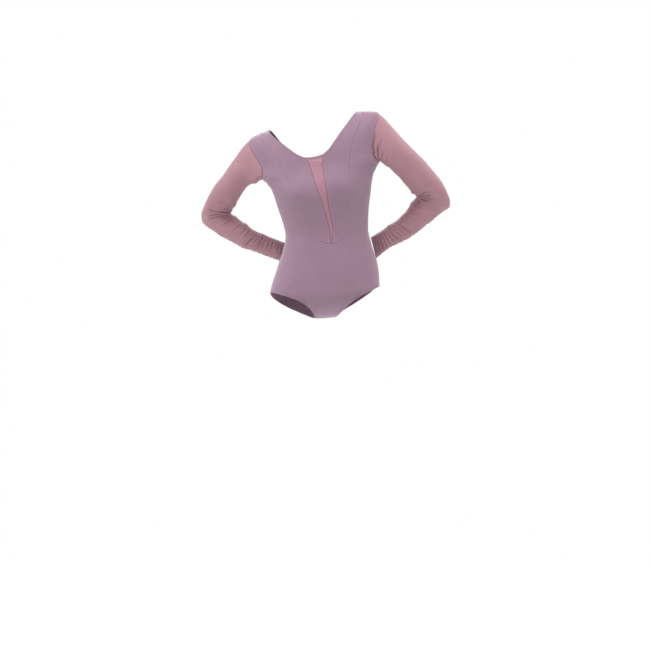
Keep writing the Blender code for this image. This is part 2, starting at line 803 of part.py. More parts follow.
def build():
    """every piece of the leotard"""
    for old in list(bpy.data.objects):
        bpy.data.objects.remove(old)
    right = armhole_joint(True, SLEEVE_RIGHT, RUCKS_RIGHT)
    left = armhole_joint(False, SLEEVE_LEFT, RUCKS_LEFT)
    side_front = side_front_patch()
    centre = centre_front_patch()
    upper_back = upper_back_patch()
    body_piece("front_body", [(side_front, -1), (flipped(side_front), -1),
                              (lower_front_patch(), -1)], KNIT_WALL, KNIT, [right, left])
    body_piece("centre_front_left", [(centre, -1)], KNIT_WALL, KNIT, [])
    body_piece("centre_front_right", [(flipped(centre), -1)], KNIT_WALL, KNIT, [])
    body_piece("v_insert", [(insert_patch(), -1)], MESH_WALL, MESH, [])
    body_piece("back", [(upper_back, 1), (flipped(upper_back), 1), (lower_back_patch(), 1)],
               KNIT_WALL, KNIT, [right, left])
    sleeve_piece("sleeve_right", SLEEVE_RIGHT, RUCKS_RIGHT, right)
    sleeve_piece("sleeve_left", SLEEVE_LEFT, RUCKS_LEFT, left)


build()
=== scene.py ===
"""Looks of the long-sleeve leotard: mauve stretch knit, a sheer V insert and sheer ruched sleeves.

The tables and the form are the same as the solids': millimetres and degrees, made metres when a
mesh is written. The upright form stands on a straight spine with heights measured down from the
shoulder line, X to the wearer's left and -Y to the front, and worn() leans and twists it.
"""
from collections import namedtuple

import bpy
import numpy as np
from mathutils.kdtree import KDTree
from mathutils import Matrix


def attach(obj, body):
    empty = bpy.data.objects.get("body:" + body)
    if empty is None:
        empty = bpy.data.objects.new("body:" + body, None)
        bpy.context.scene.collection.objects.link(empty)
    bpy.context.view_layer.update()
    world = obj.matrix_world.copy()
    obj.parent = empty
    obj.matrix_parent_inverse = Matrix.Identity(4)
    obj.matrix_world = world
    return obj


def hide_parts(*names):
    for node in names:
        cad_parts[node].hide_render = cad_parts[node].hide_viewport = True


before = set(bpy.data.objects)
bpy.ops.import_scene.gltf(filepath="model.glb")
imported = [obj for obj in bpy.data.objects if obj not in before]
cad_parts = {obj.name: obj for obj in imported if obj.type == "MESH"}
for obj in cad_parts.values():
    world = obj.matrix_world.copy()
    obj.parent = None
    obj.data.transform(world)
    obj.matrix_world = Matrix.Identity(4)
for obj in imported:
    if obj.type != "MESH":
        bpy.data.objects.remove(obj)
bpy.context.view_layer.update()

MM = 0.001

# cloth thickness, and the extra layer inside a hem
KNIT_CLOTH = 0.9
MESH_CLOTH = 0.5
HEM_WIDTH = 10.0
HEM_EXTRA = 0.8
MITRE_LIMIT = 1.4
RIM_WAY = np.array([0.31, -0.42, 1.0])

# how finely each piece is meshed, in steps along its lines
ARMHOLE_STEPS = 72
SIDE_STEPS = 48
HIP_STEPS = 64
CROTCH_STEPS = 25
NECK_STEPS = 40
PANEL_STEPS = 32
INSERT_STEPS = 24
SCOOP_STEPS = 41
ARM_STEPS = 320
EDGE_STEPS = [0.12, 0.28, 0.5, 0.74, 1.26, 1.55]
# how finely the curves behind them are worked out
FINE_STEPS = 240
CURVE_STEPS = 800
ANGLE_STEPS = 2000
HALVINGS = 50
ANGLE_NUDGE = 1e-3
LEVEL_NUDGE = 0.1
# the depth of the body is averaged over these near heights, so that no band shows on it
SOFTENING = [-18, -9, 0, 9, 18]

# the general figure's body, a row for each level going up from the leg openings
Level = namedtuple("Level", "height half_width front back")
LEVELS = [
    Level(-505, 163, 98, 118),
    Level(-470, 158, 98, 117),
    Level(-420, 146, 95, 108),
    Level(-370, 130, 90, 95),
    Level(-330, 122, 87, 87),
    Level(-290, 126, 93, 88),
    Level(-260, 132, 103, 92),
    Level(-230, 139, 114, 96),
    Level(-205, 144, 118, 99),
    Level(-180, 152, 114, 101),
    Level(-160, 164, 108, 101),
    Level(-145, 176, 102, 99),
    Level(-130, 181, 99, 98),
]
TOP_LEVEL = LEVELS[-1].height
LOW_LEVEL = LEVELS[0].height
BODY_POWER = 2.25
# the outline in the plane of the shoulder seams, x out from the spine
ShoulderRow = namedtuple("ShoulderRow", "x height")
SHOULDER_LINE = [
    ShoulderRow(0, 12),
    ShoulderRow(90, 8),
    ShoulderRow(134, 0),
    ShoulderRow(170, -6),
    ShoulderRow(197, -17.5),
    ShoulderRow(206, -60),
    ShoulderRow(193, -105),
    ShoulderRow(181, -130),
]
SHOULDER_TURN = 62.0
TOP_POWER = 2.1
TOP_REACH = 150.0
CROTCH_HEIGHT = -584.0
LOW_POWER = 2.0
LOW_REACH = 110.0
DEEPEST = 260.0
# soft swellings of the body under the cloth
Swell = namedtuple("Swell", "name side height angle rise tall wide")
SWELLS = [
    Swell("bust", -1, -205, 36, 8, 42, 24),
    Swell("shoulder_blade", 1, -130, 36, 6, 60, 26),
    Swell("seat", 1, -470, 34, 9, 50, 26),
]

# the worn pose, a row for each level of the spine
Pose = namedtuple("Pose", "height x y z tilt twist")
POSES = [
    Pose(-584, 35, 2, -581, 3.5, 8.0),
    Pose(-510, 35, 3, -509, 3.5, 8.0),
    Pose(-420, 42, 2, -419, 4.0, 8.5),
    Pose(-330, 41, 0, -329, 5.0, 8.0),
    Pose(-260, 34, -2, -259, 6.0, 3.0),
    Pose(-205, 29, -2, -204, 7.2, -1.5),
    Pose(-150, 24, 0, -149, 8.7, -6.0),
    Pose(-100, 17, 4, -99, 10.2, -9.0),
    Pose(0, 0, 12, 0, 11.5, -11.0),
]


def column(rows, name):
    """one named column of a table as an array"""
    return np.array([getattr(row, name) for row in rows], float)


def smooth(x, xs, ys):
    """a curve through table rows, without overshoot between them"""
    x = np.clip(np.asarray(x, float), xs[0], xs[-1])
    step = np.diff(xs)
    rise = np.diff(ys) / step
    slope = np.zeros(len(xs))
    turn = rise[:-1] * rise[1:] > 0
    w1 = 2 * step[1:] + step[:-1]
    w2 = step[1:] + 2 * step[:-1]
    inner = np.zeros(len(rise) - 1)
    inner[turn] = ((w1 + w2)[turn]
                   / (w1[turn] / rise[:-1][turn] + w2[turn] / rise[1:][turn]))
    slope[1:-1] = inner
    slope[0] = rise[0]
    slope[-1] = rise[-1]
    k = np.clip(np.searchsorted(xs, x, side="right") - 1, 0, len(step) - 1)
    u = (x - xs[k]) / step[k]
    return (ys[k] * (1 + 2 * u) * (1 - u) ** 2 + slope[k] * step[k] * u * (1 - u) ** 2
            + ys[k + 1] * u ** 2 * (3 - 2 * u) + slope[k + 1] * step[k] * u ** 2 * (u - 1))


def from_rows(x, rows, key, name):
    """a column of a table at x"""
    return smooth(x, column(rows, key), column(rows, name))


def unit(vectors):
    """vectors at length one"""
    return vectors / np.maximum(np.linalg.norm(vectors, axis=-1, keepdims=True), 1e-9)


def run_along(points):
    """the length of a line of points up to each of them"""
    return np.concatenate([[0], np.cumsum(np.linalg.norm(np.diff(points, axis=0), axis=1))])


def read_at(wanted, along, values):
    """columns of values at places along a line"""
    return np.stack([np.interp(wanted, along, column_) for column_ in values.T], axis=-1)


def blend_power(first, second, share_first, share_second, power):
    """the radius of a superellipse between two half axes"""
    total = (np.abs(share_first) / first) ** power + (np.abs(share_second) / second) ** power
    return total ** (-1 / power)


def level_radius(angle, height, side):
    """radius of the body's section; the angle runs from the front or back centre to the side"""
    half = from_rows(height, LEVELS, "height", "half_width")
    depths = [from_rows(height + near, LEVELS, "height", "front" if side < 0 else "back")
              for near in SOFTENING]
    depth = np.mean(depths, axis=0)
    return blend_power(half, depth, np.sin(angle), np.cos(angle), BODY_POWER)


def shoulder_radius(angle):
    """reach of the shoulder outline from the centre of the top level"""
    reach = column(SHOULDER_LINE, "height") - TOP_LEVEL
    out = column(SHOULDER_LINE, "x")
    return smooth(np.abs(angle), np.arctan2(out, reach), np.hypot(out, reach))


def low_radius(angle):
    """reach of the lower outline from the centre of the low level"""
    return blend_power(LEVELS[0].half_width, LOW_LEVEL - CROTCH_HEIGHT,
                       np.sin(angle), np.cos(angle), LOW_POWER)


def swell(angle, t, side):
    """the rise of the soft swellings at a place on the body"""
    rise = np.zeros_like(angle)
    for row in SWELLS:
        if row.side == side:
            aside = (np.degrees(np.abs(angle)) - row.angle) / row.wide
            above = (t - row.height) / row.tall
            rise = rise + row.rise * np.exp(-aside ** 2 - above ** 2) * np.cos(angle)
    return rise


def body_radius(angle, t, side):
    """reach of the body, and the fan angles at which it bends over the top and the bottom"""
    up = np.clip((t - TOP_LEVEL) / TOP_REACH, 0, 1) * np.pi / 2
    down = np.clip((LOW_LEVEL - t) / LOW_REACH, 0, 1) * np.pi / 2
    middle = level_radius(angle, t, side)
    over = blend_power(middle, shoulder_radius(angle), np.cos(up), np.sin(up), TOP_POWER)
    under = blend_power(middle, low_radius(angle), np.cos(down), np.sin(down), LOW_POWER)
    radius = np.where(t > TOP_LEVEL, over, np.where(t < LOW_LEVEL, under, middle))
    return radius + swell(angle, t, side), up, down


def body(angle, t, side):
    """points of the upright body; t is the height, and past either end a fan over the edge"""
    radius, up, down = body_radius(angle, t, side)
    level = radius * np.cos(angle) * side * np.cos(up) * np.cos(down)
    rise = radius * np.cos(angle) * (np.sin(up) - np.sin(down))
    height = np.clip(t, LOW_LEVEL, TOP_LEVEL) + rise
    return np.stack([radius * np.sin(angle), level, height], axis=-1)


def worn(points):
    """carry upright points into the worn pose"""
    height = points[..., 2]
    held = np.clip(height, POSES[0].height, POSES[-1].height)
    pose = {name: from_rows(held, POSES, "height", name) for name in Pose._fields[1:]}
    centre = np.stack([pose[axis] for axis in "xyz"], axis=-1)
    tilt = np.radians(pose["tilt"])
    twist = np.radians(pose["twist"])
    x = points[..., 0] * np.cos(twist) - points[..., 1] * np.sin(twist)
    y = points[..., 0] * np.sin(twist) + points[..., 1] * np.cos(twist)
    z = height - held
    turned = np.stack([x * np.cos(tilt) - z * np.sin(tilt), y,
                       x * np.sin(tilt) + z * np.cos(tilt)], axis=-1)
    return centre + turned


# seams of the cut, drawn on the upright form as seen from the front or back, x out from the centre
SeamRow = namedtuple("SeamRow", "x height")
NECK_X = 134.0
PRINCESS_X = 158.0
SHOULDER_X = 197.0
UNDERARM = SeamRow(175.5, -146)
NECKLINE = [
    SeamRow(111, -27),
    SeamRow(88, -50),
    SeamRow(62, -77),
    SeamRow(46, -92),
    SeamRow(28.5, -103),
]
INSERT_EDGE = [
    SeamRow(28.5, -103),
    SeamRow(20, -130),
    SeamRow(16.5, -165),
    SeamRow(14, -204),
    SeamRow(10, -233),
    SeamRow(7.5, -270),
    SeamRow(6, -315),
    SeamRow(1.5, -366),
]
INSERT_DIP = 3.0
PRINCESS = [
    SeamRow(149, -30),
    SeamRow(128, -65),
    SeamRow(114, -92),
    SeamRow(102, -125),
    SeamRow(90.5, -166),
    SeamRow(80, -204),
    SeamRow(70.5, -255),
    SeamRow(63, -305),
    SeamRow(58, -340),
]
V_SEAM = [
    SeamRow(1.5, -366),
    SeamRow(10, -364.5),
    SeamRow(25, -360),
    SeamRow(40, -353),
    SeamRow(58, -340),
]
ARMHOLE_FRONT = [
    SeamRow(196, -32),
    SeamRow(188, -50),
    SeamRow(179, -73),
    SeamRow(171, -93),
    SeamRow(166, -111),
    SeamRow(166, -130),
    UNDERARM,
]
ARMHOLE_BACK = [
    SeamRow(194, -34),
    SeamRow(185, -56),
    SeamRow(176, -80),
    SeamRow(170, -104),
    SeamRow(168, -126),
    UNDERARM,
]
BACK_NECK = [
    SeamRow(124, -28),
    SeamRow(108, -58),
    SeamRow(86, -86),
]
BACK_SCOOP = [
    SeamRow(86, -86),
    SeamRow(48, -110),
    SeamRow(0, -118),
    SeamRow(-48, -110),
    SeamRow(-86, -86),
]
WAIST_SIDE = -338.0
LEG_SIDE = -497.0
LEG_FRONT = [
    SeamRow(142, -505),
    SeamRow(122, -513),
    SeamRow(100, -522),
    SeamRow(82, -532),
    SeamRow(60, -549),
    SeamRow(43, -567),
]
LEG_BACK = [
    SeamRow(148, -512),
    SeamRow(124, -530),
    SeamRow(98, -546),
    SeamRow(72, -560),
    SeamRow(50, -572),
]
CROTCH_HALF = 32.0


def find(x, height, side):
    """the angle and t of body points seen from the front or back at x and height"""
    x = np.asarray(x, float)
    height = np.asarray(height, float)
    held = np.clip(height, LOW_LEVEL, TOP_LEVEL)
    near = np.zeros_like(x)
    far = np.full_like(x, DEEPEST)
    for _ in range(HALVINGS):
        depth = (near + far) / 2
        reach = np.sqrt(x ** 2 + depth ** 2 + (height - held) ** 2)
        angle, t = place(x, depth, height)
        outside = reach > body_radius(angle, t, side)[0]
        far = np.where(outside, depth, far)
        near = np.where(outside, near, depth)
    return np.stack(place(x, (near + far) / 2, height), axis=-1)


def place(x, depth, height):
    """the angle and t of the ray through a point of the upright form"""
    held = np.clip(height, LOW_LEVEL, TOP_LEVEL)
    over = height - held
    fan = np.arctan2(np.abs(over), np.maximum(depth, 1e-6)) / (np.pi / 2)
    angle = np.arctan2(x, np.hypot(depth, over))
    t = held + np.where(over > 0, fan * TOP_REACH, -fan * LOW_REACH)
    return angle, t


def spread(line, steps):
    """a curve through points, cut into equal lengths"""
    line = np.asarray(line, float)
    reach = run_along(line)
    fine = np.linspace(0, reach[-1], CURVE_STEPS)
    curve = np.stack([smooth(fine, reach, line[:, k]) for k in range(line.shape[1])], axis=-1)
    along = run_along(curve)
    return read_at(np.linspace(0, along[-1], steps + 1), along, curve)


def drawn(rows, steps, side, start=None, end=None):
    """a seam table as angle and t, in steps of equal length on the body"""
    cut = spread([(row.x, row.height) for row in rows], FINE_STEPS)
    places = find(cut[:, 0], cut[:, 1], side)
    places[0] = places[0] if start is None else start
    places[-1] = places[-1] if end is None else end
    points = body(places[:, 0], places[:, 1], side)
    along = run_along(points)
    return read_at(np.linspace(0, along[-1], steps + 1), along, places)


def shoulder_place(x):
    """a point of the shoulder seam, x out from the neck side"""
    angles = np.linspace(0, np.radians(SHOULDER_TURN), ANGLE_STEPS)
    out = shoulder_radius(angles) * np.sin(angles)
    rise = shoulder_radius(angles) * np.cos(angles)
    return SeamRow(x, TOP_LEVEL + np.interp(x, out, rise))


def shoulder_seam(first, last, steps):
    """angle and t along the shoulder seam"""
    points = [shoulder_place(x) for x in np.linspace(first, last, steps + 1)]
    angle = np.array([np.arctan2(row.x, row.height - TOP_LEVEL) for row in points])
    return np.stack([angle, np.full(steps + 1, TOP_LEVEL + TOP_REACH)], axis=-1)


def side_seam(top, bottom, steps):
    """angle and t down the side"""
    return np.stack([np.full(steps + 1, np.pi / 2), np.linspace(top, bottom, steps + 1)], axis=-1)


def mirror(places):
    """the same line on the wearer's other side"""
    return places * np.array([-1.0, 1.0])


def coons(top, bottom, left, right):
    """a patch of places between four lines, rows from top to bottom"""
    u = np.linspace(0, 1, len(top))[None, :, None]
    v = np.linspace(0, 1, len(left))[:, None, None]
    across = (1 - v) * top[None] + v * bottom[None]
    down = (1 - u) * left[:, None] + u * right[:, None]
    corners = ((1 - u) * (1 - v) * top[0] + u * (1 - v) * top[-1]
               + (1 - u) * v * bottom[0] + u * v * bottom[-1])
    return across + down - corners


def level_place(height):
    """a point of the side seam"""
    return SeamRow(float(from_rows(height, LEVELS, "height", "half_width")), height)


def crotch_place(x):
    """a point of the crotch seam, x out from the centre"""
    angles = np.linspace(0, np.pi / 2, ANGLE_STEPS)
    angle = np.interp(x, low_radius(angles) * np.sin(angles), angles)
    return SeamRow(x, float(LOW_LEVEL - low_radius(angle) * np.cos(angle)))


def crotch_seam(steps):
    """angle and t across the crotch"""
    end = crotch_place(CROTCH_HALF)
    angle = np.arctan2(end.x, LOW_LEVEL - end.height)
    return np.stack([np.linspace(-angle, angle, steps + 1),
                     np.full(steps + 1, LOW_LEVEL - LOW_REACH)], axis=-1)


def shoulder_end(x):
    """angle and t of one point of the shoulder seam"""
    return shoulder_seam(x, x, 0)[0]


def from_shoulder(x, rows, steps, side, end=None):
    """a seam from a point of the shoulder seam through the rows of its table"""
    return drawn([shoulder_place(x)] + rows, steps, side, shoulder_end(x), end)


def armhole(rows, side):
    """half of the armhole on the wearer's left, from the shoulder seam to the underarm"""
    return from_shoulder(SHOULDER_X, rows, ARMHOLE_STEPS, side, (np.pi / 2, UNDERARM.height))


def leg_opening(rows, steps, side):
    """half of the leg opening on the wearer's left, from the side seam to the crotch"""
    return drawn([level_place(LEG_SIDE)] + rows + [crotch_place(CROTCH_HALF)], steps, side,
                 (np.pi / 2, LEG_SIDE), crotch_seam(1)[1])


def lower_edge(rows, columns, side):
    """both leg openings and the crotch seam, right to left"""
    half = leg_opening(rows, (columns - CROTCH_STEPS) // 2, side)
    return joined(mirror(half), crotch_seam(CROTCH_STEPS), half[::-1])


def joined(*lines):
    """lines end to end, each starting where the last one ended"""
    return np.concatenate([lines[0]] + [line[1:] for line in lines[1:]])


def flipped(places):
    """a patch or line for the wearer's right, its columns still running to the wearer's left"""
    return mirror(places)[:, ::-1] if places.ndim == 3 else mirror(places)[::-1]


def princess_seam():
    """the princess seam on the wearer's left, from the shoulder seam to the waist corner"""
    return from_shoulder(PRINCESS_X, PRINCESS, ARMHOLE_STEPS + SIDE_STEPS, -1)


def neckline():
    """the front neckline on the wearer's left, from the shoulder seam to the insert"""
    return from_shoulder(NECK_X, NECKLINE, NECK_STEPS, -1)


def insert_edge():
    """the seam of the insert on the wearer's left, from the neckline to the waist point"""
    return drawn(INSERT_EDGE, ARMHOLE_STEPS + SIDE_STEPS - NECK_STEPS, -1)


def waist_side_line():
    """the line inside the front from the waist corner out to the side seam"""
    start = princess_seam()[-1]
    share = np.linspace(0, 1, PANEL_STEPS + 1)[:, None]
    return start * (1 - share) + np.array([np.pi / 2, WAIST_SIDE]) * share


def side_front_patch():
    """the front between the princess seam, the armhole and the side seam, wearer's left"""
    outer = joined(armhole(ARMHOLE_FRONT, -1), side_seam(UNDERARM.height, WAIST_SIDE, SIDE_STEPS))
    return coons(shoulder_seam(PRINCESS_X, SHOULDER_X, PANEL_STEPS), waist_side_line(),
                 princess_seam(), outer)


def v_half():
    """half of the pointed waist seam, from the point to the wearer's left corner"""
    return drawn(V_SEAM, PANEL_STEPS, -1)


def lower_front_patch():
    """the front from the pointed waist seam to the crotch, right to left"""
    half = joined(v_half(), waist_side_line())
    point = np.linspace(flipped(half)[-1], half[0], 2)
    top = joined(flipped(half), point, half)
    edge = side_seam(WAIST_SIDE, LEG_SIDE, HIP_STEPS)
    return coons(top, lower_edge(LEG_FRONT, len(top) - 1, -1), mirror(edge), edge)


def centre_front_patch():
    """the panel between the neckline, the insert, the princess seam and the waist seam"""
    inner = joined(neckline(), insert_edge())
    return coons(shoulder_seam(NECK_X, PRINCESS_X, PANEL_STEPS), v_half(), inner, princess_seam())


def insert_patch():
    """the sheer wedge, right to left"""
    edge = insert_edge()
    share = np.linspace(-1, 1, INSERT_STEPS + 1)[:, None]
    dip = np.stack([np.zeros(INSERT_STEPS + 1), -INSERT_DIP * (1 - share[:, 0] ** 2)], axis=-1)
    top = edge[0] * np.concatenate([share, np.ones_like(share)], axis=1) + dip
    bottom = edge[-1] * np.concatenate([share, np.ones_like(share)], axis=1)
    return coons(top, bottom, mirror(edge), edge)


def back_line():
    """the line inside the back from the scoop out to the underarm"""
    start = find(BACK_SCOOP[0].x, BACK_SCOOP[0].height, 1)
    share = np.linspace(0, 1, 2 * PANEL_STEPS + 1)
    share = np.stack([share, 1 - (1 - share) ** 2], axis=-1)
    return start * (1 - share) + np.array([np.pi / 2, UNDERARM.height]) * share


def back_neck():
    """the back neckline on the wearer's left, from the shoulder seam to the scoop"""
    return from_shoulder(NECK_X, BACK_NECK, ARMHOLE_STEPS, 1)


def back_scoop():
    """the low curve of the back neckline, right to left"""
    return drawn(BACK_SCOOP, SCOOP_STEPS, 1)[::-1]


def upper_back_patch():
    """the back between the scoop and the armhole, wearer's left"""
    top = joined(shoulder_seam(NECK_X, PRINCESS_X, PANEL_STEPS),
                 shoulder_seam(PRINCESS_X, SHOULDER_X, PANEL_STEPS))
    return coons(top, back_line(), back_neck(), armhole(ARMHOLE_BACK, 1))


def lower_back_patch():
    """the back from the scoop to the crotch, right to left"""
    top = joined(flipped(back_line()), back_scoop(), back_line())
    edge = joined(side_seam(UNDERARM.height, WAIST_SIDE, SIDE_STEPS),
                  side_seam(WAIST_SIDE, LEG_SIDE, HIP_STEPS))
    return coons(top, lower_edge(LEG_BACK, len(top) - 1, 1), mirror(edge), edge)


# sleeves, a row for each section going down the arm: the two edges seen from the front,
# how far back its centre lies and half its depth
Station = namedtuple("Station", "outer_x outer_z inner_x inner_z back deep")
SLEEVE_RIGHT = [
    Station(-195, -58, -149, -171, 44, 47),
    Station(-212, -77, -167, -178, 57, 48),
    Station(-227, -100, -183, -184, 71, 50),
    Station(-248, -130, -195, -192, 84, 50),
    Station(-268, -159, -208, -208, 101, 49),
    Station(-291, -187, -220, -227, 118, 48),
    Station(-310, -218, -232, -245, 136, 47),
    Station(-324, -248, -240, -258, 154, 46),
    Station(-332, -271, -245, -266, 172, 45),
    Station(-330, -292, -244, -270, 180, 44),
    Station(-317, -308, -240, -274, 178, 42),
    Station(-295, -323, -230, -280, 167, 40),
    Station(-271, -338, -215, -292, 156, 38),
    Station(-245, -353, -202, -301, 145, 35),
    Station(-215, -369, -183, -316, 136, 33),
    Station(-180, -381, -158, -329, 128, 31),
    Station(-142, -396, -128, -341, 119, 30),
    Station(-106, -409, -97, -353, 108, 30),
    Station(-74, -420, -65, -366, 98, 29),
]
SLEEVE_LEFT = [
    Station(191, 21, 198, -118, -24, 47),
    Station(209, 7, 209, -125, -17, 48),
    Station(227, -12, 220, -131, -11, 49),
    Station(245, -31, 230, -142, -4, 50),
    Station(268, -56, 243, -155, 10, 49),
    Station(298, -86, 257, -168, 24, 48),
    Station(327, -114, 273, -187, 38, 47),
    Station(354, -145, 289, -204, 52, 46),
    Station(378, -174, 299, -214, 65, 45),
    Station(395, -204, 305, -218, 78, 44),
    Station(405, -233, 307, -222, 92, 43),
    Station(404, -251, 302, -227, 96, 42),
    Station(385, -266, 295, -236, 100, 40),
    Station(363, -283, 285, -251, 97, 38),
    Station(339, -302, 274, -267, 95, 35),
    Station(316, -322, 263, -280, 92, 33),
    Station(291, -339, 243, -295, 88, 31),
    Station(260, -357, 224, -307, 84, 30),
    Station(227, -373, 204, -322, 79, 30),
    Station(187, -404, 171, -342, 74, 29),
]
FADE_REACH = 95.0
# the largest rucks of the sleeves: along the arm from the armhole, the turn round it where the
# ruck is highest (0 outer edge, 90 front, 180 inner edge), its rise, width, reach and slant
Ruck = namedtuple("Ruck", "along turn rise width reach slant")
RUCKS_RIGHT = [
    Ruck(30, 175, 4.0, 12, 60, 8),
    Ruck(178, 165, 4.0, 12, 50, 14),
    Ruck(232, 150, 3.5, 11, 60, -14),
    Ruck(262, 110, 3.0, 11, 80, 16),
    Ruck(296, 60, 3.0, 11, 80, -12),
    Ruck(330, 120, 3.2, 11, 90, 14),
    Ruck(365, 70, 3.2, 11, 90, -12),
    Ruck(402, 110, 3.0, 11, 90, 10),
]
RUCKS_LEFT = [
    Ruck(34, 170, 4.5, 12, 60, 8),
    Ruck(206, 165, 4.0, 12, 50, 14),
    Ruck(262, 150, 3.5, 11, 60, -12),
    Ruck(292, 80, 3.0, 11, 80, 14),
    Ruck(322, 120, 3.2, 11, 80, -14),
    Ruck(352, 70, 3.2, 11, 90, 12),
    Ruck(384, 115, 3.2, 11, 90, -12),
    Ruck(420, 90, 3.0, 11, 90, 10),
]


def turn_from(start, turn):
    """the shorter way round from one turn to another"""
    return (turn - start + 180) % 360 - 180


def ruck_rise(rucks, along, turn):
    """how far the rucks lift the sleeve"""
    lift = np.zeros(np.broadcast(along, turn).shape)
    for row in rucks:
        off = turn_from(row.turn, turn)
        line = (along - row.along - row.slant * np.sin(np.radians(off))) / row.width
        lift = lift + row.rise * np.exp(-line ** 2 - (off / row.reach) ** 2)
    return lift


def arm_lines(stations):
    """the centre line of a sleeve, and from it the ways to its outer edge and its front"""
    count = len(stations)
    at = np.linspace(0, count - 1, ARM_STEPS + 1)
    col = {name: smooth(at, np.arange(count, dtype=float), column(stations, name))
           for name in Station._fields}
    outer = np.stack([col["outer_x"], col["back"], col["outer_z"]], axis=-1)
    inner = np.stack([col["inner_x"], col["back"], col["inner_z"]], axis=-1)
    front = col["deep"][:, None] * np.array([0.0, -1.0, 0.0])
    return (outer + inner) / 2, (outer - inner) / 2, front


def sleeve_rings(stations, rucks, hole):
    """the sleeve's rings from the armhole loop to the cuff"""
    centre, half, front = arm_lines(stations)
    along = run_along(centre)
    turn = np.linspace(0, 360, len(hole), endpoint=False)
    wave = np.radians(turn)[None, :, None]
    spoke = np.cos(wave) * half[:, None] + np.sin(wave) * front[:, None]
    lift = ruck_rise(rucks, along[:, None], turn[None, :])
    rings = centre[:, None] + spoke + unit(spoke) * lift[..., None]
    fade = np.clip(1 - along / FADE_REACH, 0, 1) ** 2
    return rings + fade[:, None, None] * (hole - rings[0])[None]


def slopes(places, side):
    """how far the worn form runs across and up over twice a small nudge"""
    angle, t = places[..., 0], places[..., 1]
    across = worn(body(angle + ANGLE_NUDGE, t, side)) - worn(body(angle - ANGLE_NUDGE, t, side))
    up = worn(body(angle, t + LEVEL_NUDGE, side)) - worn(body(angle, t - LEVEL_NUDGE, side))
    return across, up


def sheet_points(places, side):
    """worn points and outward normals of a patch"""
    points = worn(body(places[..., 0], places[..., 1], side))
    return points, unit(np.cross(*slopes(places, side))) * -side


def grid_faces(rows, columns, closed):
    """the four-sided faces of a grid of points"""
    faces = []
    for r in range(rows - 1):
        for c in range(columns if closed else columns - 1):
            d = (c + 1) % columns
            faces.append((r * columns + c, (r + 1) * columns + c,
                          (r + 1) * columns + d, r * columns + d))
    return faces


def facing(points, normals, faces):
    """the faces of one patch, turned to the outside"""
    a, b, c, d = (points[[face[k] for face in faces]] for k in range(4))
    first = normals[[face[0] for face in faces]]
    out = np.sum(np.cross(c - a, d - b) * first)
    return faces if out > 0 else [face[::-1] for face in faces]


def open_edges(faces):
    """edges that only one face uses, in that face's direction"""
    used = {(a, b) for face in faces for a, b in zip(face, face[1:] + face[:1])}
    return [(a, b) for a, b in used if (b, a) not in used]


def rim(a, b, count, from_a):
    """the edge of a wall, split alike on both sides of a seam"""
    if from_a:
        return [(b, a, b + count), (a, a + count, b + count)]
    return [(b, a, a + count), (b, a + count, b + count)]


def grid_normals(rings):
    """normals of a tube of rings, outward"""
    down = np.gradient(rings, axis=0)
    around = np.roll(rings, -1, axis=1) - np.roll(rings, 1, axis=1)
    normal = unit(np.cross(around, down))
    out = rings - rings.mean(axis=1, keepdims=True)
    return normal * np.sign(np.sum(normal * out, axis=(1, 2)))[:, None, None]


def armhole_loop(wearers_right):
    """the armhole from shoulder to front to underarm to back, with the body's normals"""
    front = armhole(ARMHOLE_FRONT, -1)
    back = armhole(ARMHOLE_BACK, 1)[::-1][1:-1]
    if wearers_right:
        front, back = mirror(front), mirror(back)
    p, n = sheet_points(front, -1)
    q, m = sheet_points(back, 1)
    return np.concatenate([p, q]), np.concatenate([n, m])


# what a sleeve and the body share round an armhole
Joint = namedtuple("Joint", "loop mitre normals")


def armhole_joint(wearers_right, stations, rucks):
    """an armhole's loop, the shared direction of both walls at it and the body's normals"""
    loop, normals = armhole_loop(wearers_right)
    own = grid_normals(sleeve_rings(stations, rucks, loop))[0]
    mitre = unit(normals + own)
    stretch = 1 / np.maximum(np.sum(mitre * normals, axis=1), 1 / MITRE_LIMIT)
    return Joint(loop, mitre * stretch[:, None], normals)


